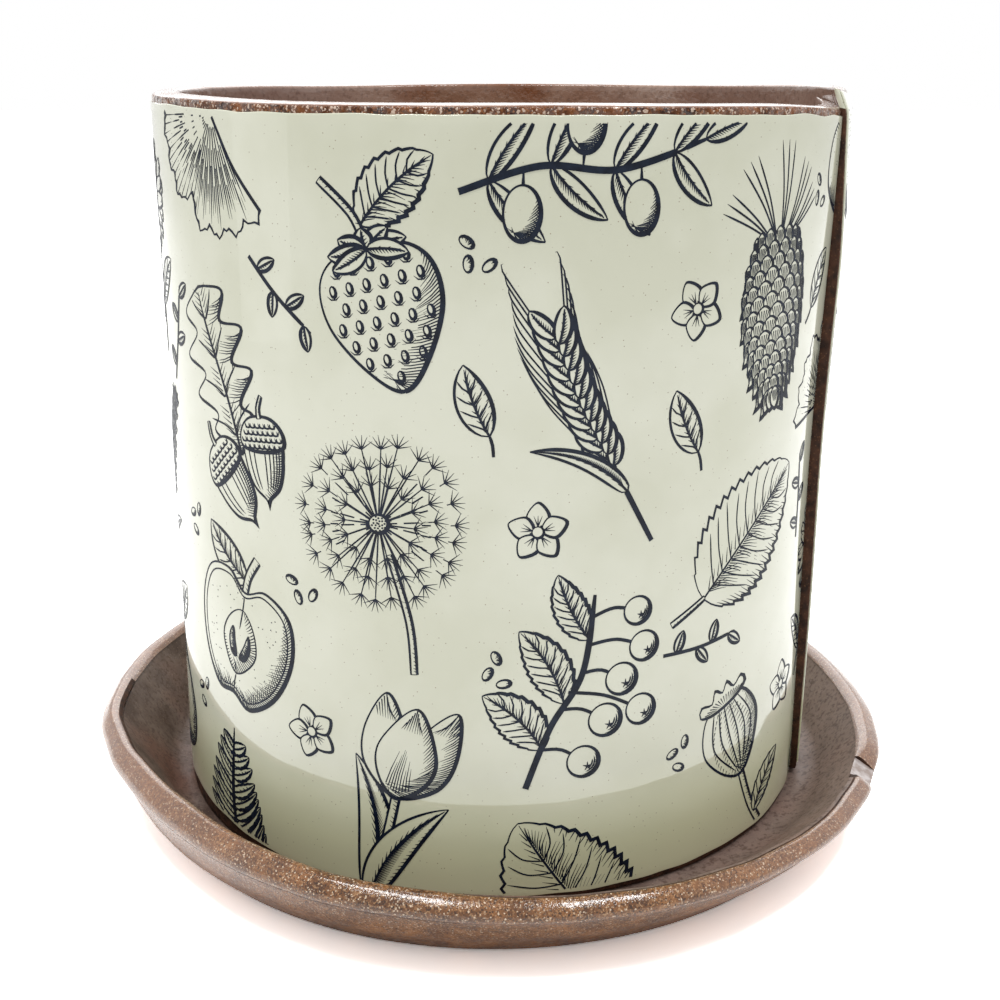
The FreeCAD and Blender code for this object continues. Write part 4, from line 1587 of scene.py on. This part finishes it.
def make_speckled_clay():
    """Coarse golden-brown clay, grainy and glossy near the rim with painted glints there, smoother below,
    and paler at its sides as painted sheen.
    """
    finish, tree = new_finish("speckled_clay", Specular_IOR_Level=0.1, Coat_Roughness=0.05)
    near_rim = place_share(tree, "Z", 5 * MM, 15 * MM)
    clay = mottled(tree, 180, 4, srgb(88, 50, 16), srgb(136, 88, 44))
    grit, tone = grains(tree, 3400)
    pale_grains = times(tree, near_rim, spread(tree, tone, 0.64, 0.9, 0, 0.6))
    clay = blended(tree, pale_grains, clay, srgb(190, 150, 108))
    clay = blended(tree, spread(tree, tone, 0.4, 0.2, 0, 0.8), clay, srgb(44, 22, 6))
    # Near-white grains near the rim: painted glints
    _, painted_glint_tone = grains(tree, 3800)
    painted_glints = times(tree, near_rim, spread(tree, painted_glint_tone, 0.8, 0.88, 0, 0.8))
    clay = blended(tree, painted_glints, clay, srgb(226, 204, 178))
    # Paler towards the left and right: painted sheen
    for side in (-1, 1):
        sheen_at_side = place_share(tree, "X", side * 30 * MM, side * 75 * MM, 0.5)
        clay = blended(tree, sheen_at_side, clay, srgb(166, 132, 116))
    lumps = bumpy(tree, times(tree, near_rim, clouds(tree, 480, 2)), 0.3 * MM)
    tooth = bumpy(tree, clouds(tree, 1400, 3), 0.05 * MM, lumps)
    grain = bumpy(tree, times(tree, near_rim, spread(tree, grit, 0.55, 0.1)), 0.12 * MM, tooth)
    waves = bumpy(tree, times(tree, near_rim, clouds(tree, 420, 2)), 0.06 * MM)
    glaze = bumpy(tree, times(tree, near_rim, spread(tree, grit, 0.55, 0.1)), 0.011 * MM, waves)
    rough = roughness(tree, 900, 0.35, 0.6)
    gloss = spread(tree, near_rim, 0, 1, 0.2, 1)
    shade(tree, Base_Color=clay, Roughness=rough, Normal=grain, Coat_Weight=gloss, Coat_Normal=glaze)
    return finish


pale_slip = make_pale_slip()
navy_ink = make_navy_ink()
chestnut_clay = make_chestnut_clay()
glazed_clay = make_glazed_clay()
raw_clay_and_shade = make_raw_clay_and_shade()
satin_clay = make_satin_clay()
painted_gap_highlight = make_painted_gap_highlight()
speckled_clay = make_speckled_clay()

wall = make_rolled_wall()
coat = make_pale_coat()
dish = make_saucer_bowl()
strip = make_rim_strip()
for piece, body, node, slot in (
        (wall, "pot", "wall_slab", "pot_clay"), (coat, "pot", "slip_coat", "pale_slip"),
        (dish, "saucer", "saucer_dish", "saucer_clay"), (strip, "saucer", "saucer_rim", "coarse_clay")):
    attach(piece, body)
    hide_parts(node)
for node in ("pot_floor", "floor_coil"):
    wear(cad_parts[node], glazed_clay)

pen_nib = make_pen_nib()
for name, motifs in (("printed_fruit", FRUIT), ("printed_flowers", FLOWERS), ("printed_leaves", LEAVES)):
    lines = print_lines(name, motifs, pen_nib)
    wear(lines, navy_ink)
    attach(lines, "pot")
bpy.data.objects.remove(pen_nib)

# The studio floor's size in metres, its tone, and how much light makes it white, seen straight and in gloss
FLOOR_SIZE = 8
FLOOR_TONE = 0.85
FLOOR_LIGHT = 0.34
FLOOR_LIGHT_IN_GLOSS = 0.7

# How strongly the plain white surround lights the pot
SKY_LIGHT = 0.66

# Two long lamps over the front, a panel behind and weaker ones on the left and right:
# place, width and height in metres, and power
POT_MIDDLE = Vector((0, 0, 0.07))
LAMPS = (
    ((-0.23, -0.2, 0.85), 0.38, 0.12, 3.3), ((0.27, -0.2, 0.85), 0.27, 0.12, 2.4),
    ((-0.05, 1, 0.65), 1.3, 0.7, 6.5), ((-0.5, -0.135, 0.2), 0.21, 0.38, 0.1),
    ((0.5, 0.85, 0.2), 0.3, 0.42, 0.15),
)

# The camera, at the photograph's viewing angle; its sensor and lens are in millimetres
CAMERA_PLACE = (0.0013, -0.3003, 0.1605)
CAMERA_TILT = 72.26
CAMERA_SENSOR = 36
CAMERA_LENS = 50.15
CAMERA_NEAR = 0.01


def ray_share(tree, *kinds):
    """1 for rays of the named kinds and 0 for the rest."""
    rays = add_node(tree, "LightPath")
    share = rays.outputs[kinds[0]]
    for kind in kinds[1:]:
        either = add_node(tree, "Math")
        either.operation = "MAXIMUM"
        tree.links.new(share, either.inputs[0])
        tree.links.new(rays.outputs[kind], either.inputs[1])
        share = either.outputs[0]
    return share


def grey(level):
    """A grey of some brightness."""
    return level, level, level, 1


# Floor, light and camera
start_piece()
bpy.ops.mesh.primitive_plane_add(size=FLOOR_SIZE, location=(0, 0, 0))
floor = named("studio_floor")
floor_white = bpy.data.materials.new("floor_white")
floor_white.use_nodes = True
floor_tree = floor_white.node_tree
floor_tree.nodes.clear()
in_gloss = ray_share(floor_tree, "Is Glossy Ray", "Is Transmission Ray")
floor_colour = blended(floor_tree, in_gloss, grey(FLOOR_TONE), grey(1 / FLOOR_LIGHT_IN_GLOSS))
straight = ray_share(floor_tree, "Is Camera Ray")
floor_colour = blended(floor_tree, straight, floor_colour, grey(1 / FLOOR_LIGHT))
matt = add_node(floor_tree, "BsdfDiffuse", Color=floor_colour)
add_node(floor_tree, "OutputMaterial", Surface=matt.outputs[0])
wear(floor, floor_white)

world = bpy.data.worlds.new("studio")
world.use_nodes = True
sky = world.node_tree.nodes["Background"]
sky.inputs["Color"].default_value = (1, 1, 1, 1)
seen = ray_share(world.node_tree, "Is Camera Ray", "Is Glossy Ray", "Is Transmission Ray")
sky_light = spread(world.node_tree, seen, 0, 1, SKY_LIGHT, 1)
world.node_tree.links.new(sky_light, sky.inputs["Strength"])
bpy.context.scene.world = world

for place, width, height, power in LAMPS:
    bpy.ops.object.light_add(type="AREA", location=place)
    lamp = bpy.context.active_object
    lamp.data.shape = "RECTANGLE"
    lamp.data.size = width
    lamp.data.size_y = height
    lamp.data.energy = power
    lamp.visible_camera = False
    lamp.rotation_euler = (POT_MIDDLE - lamp.location).to_track_quat("-Z", "Y").to_euler()

bpy.ops.object.camera_add(location=CAMERA_PLACE, rotation=(math.radians(CAMERA_TILT), 0, 0))
camera = bpy.context.active_object
camera.data.sensor_width = CAMERA_SENSOR
camera.data.lens = CAMERA_LENS
camera.data.clip_start = CAMERA_NEAR
bpy.context.scene.camera = camera

bpy.context.scene.view_settings.view_transform = "Standard"
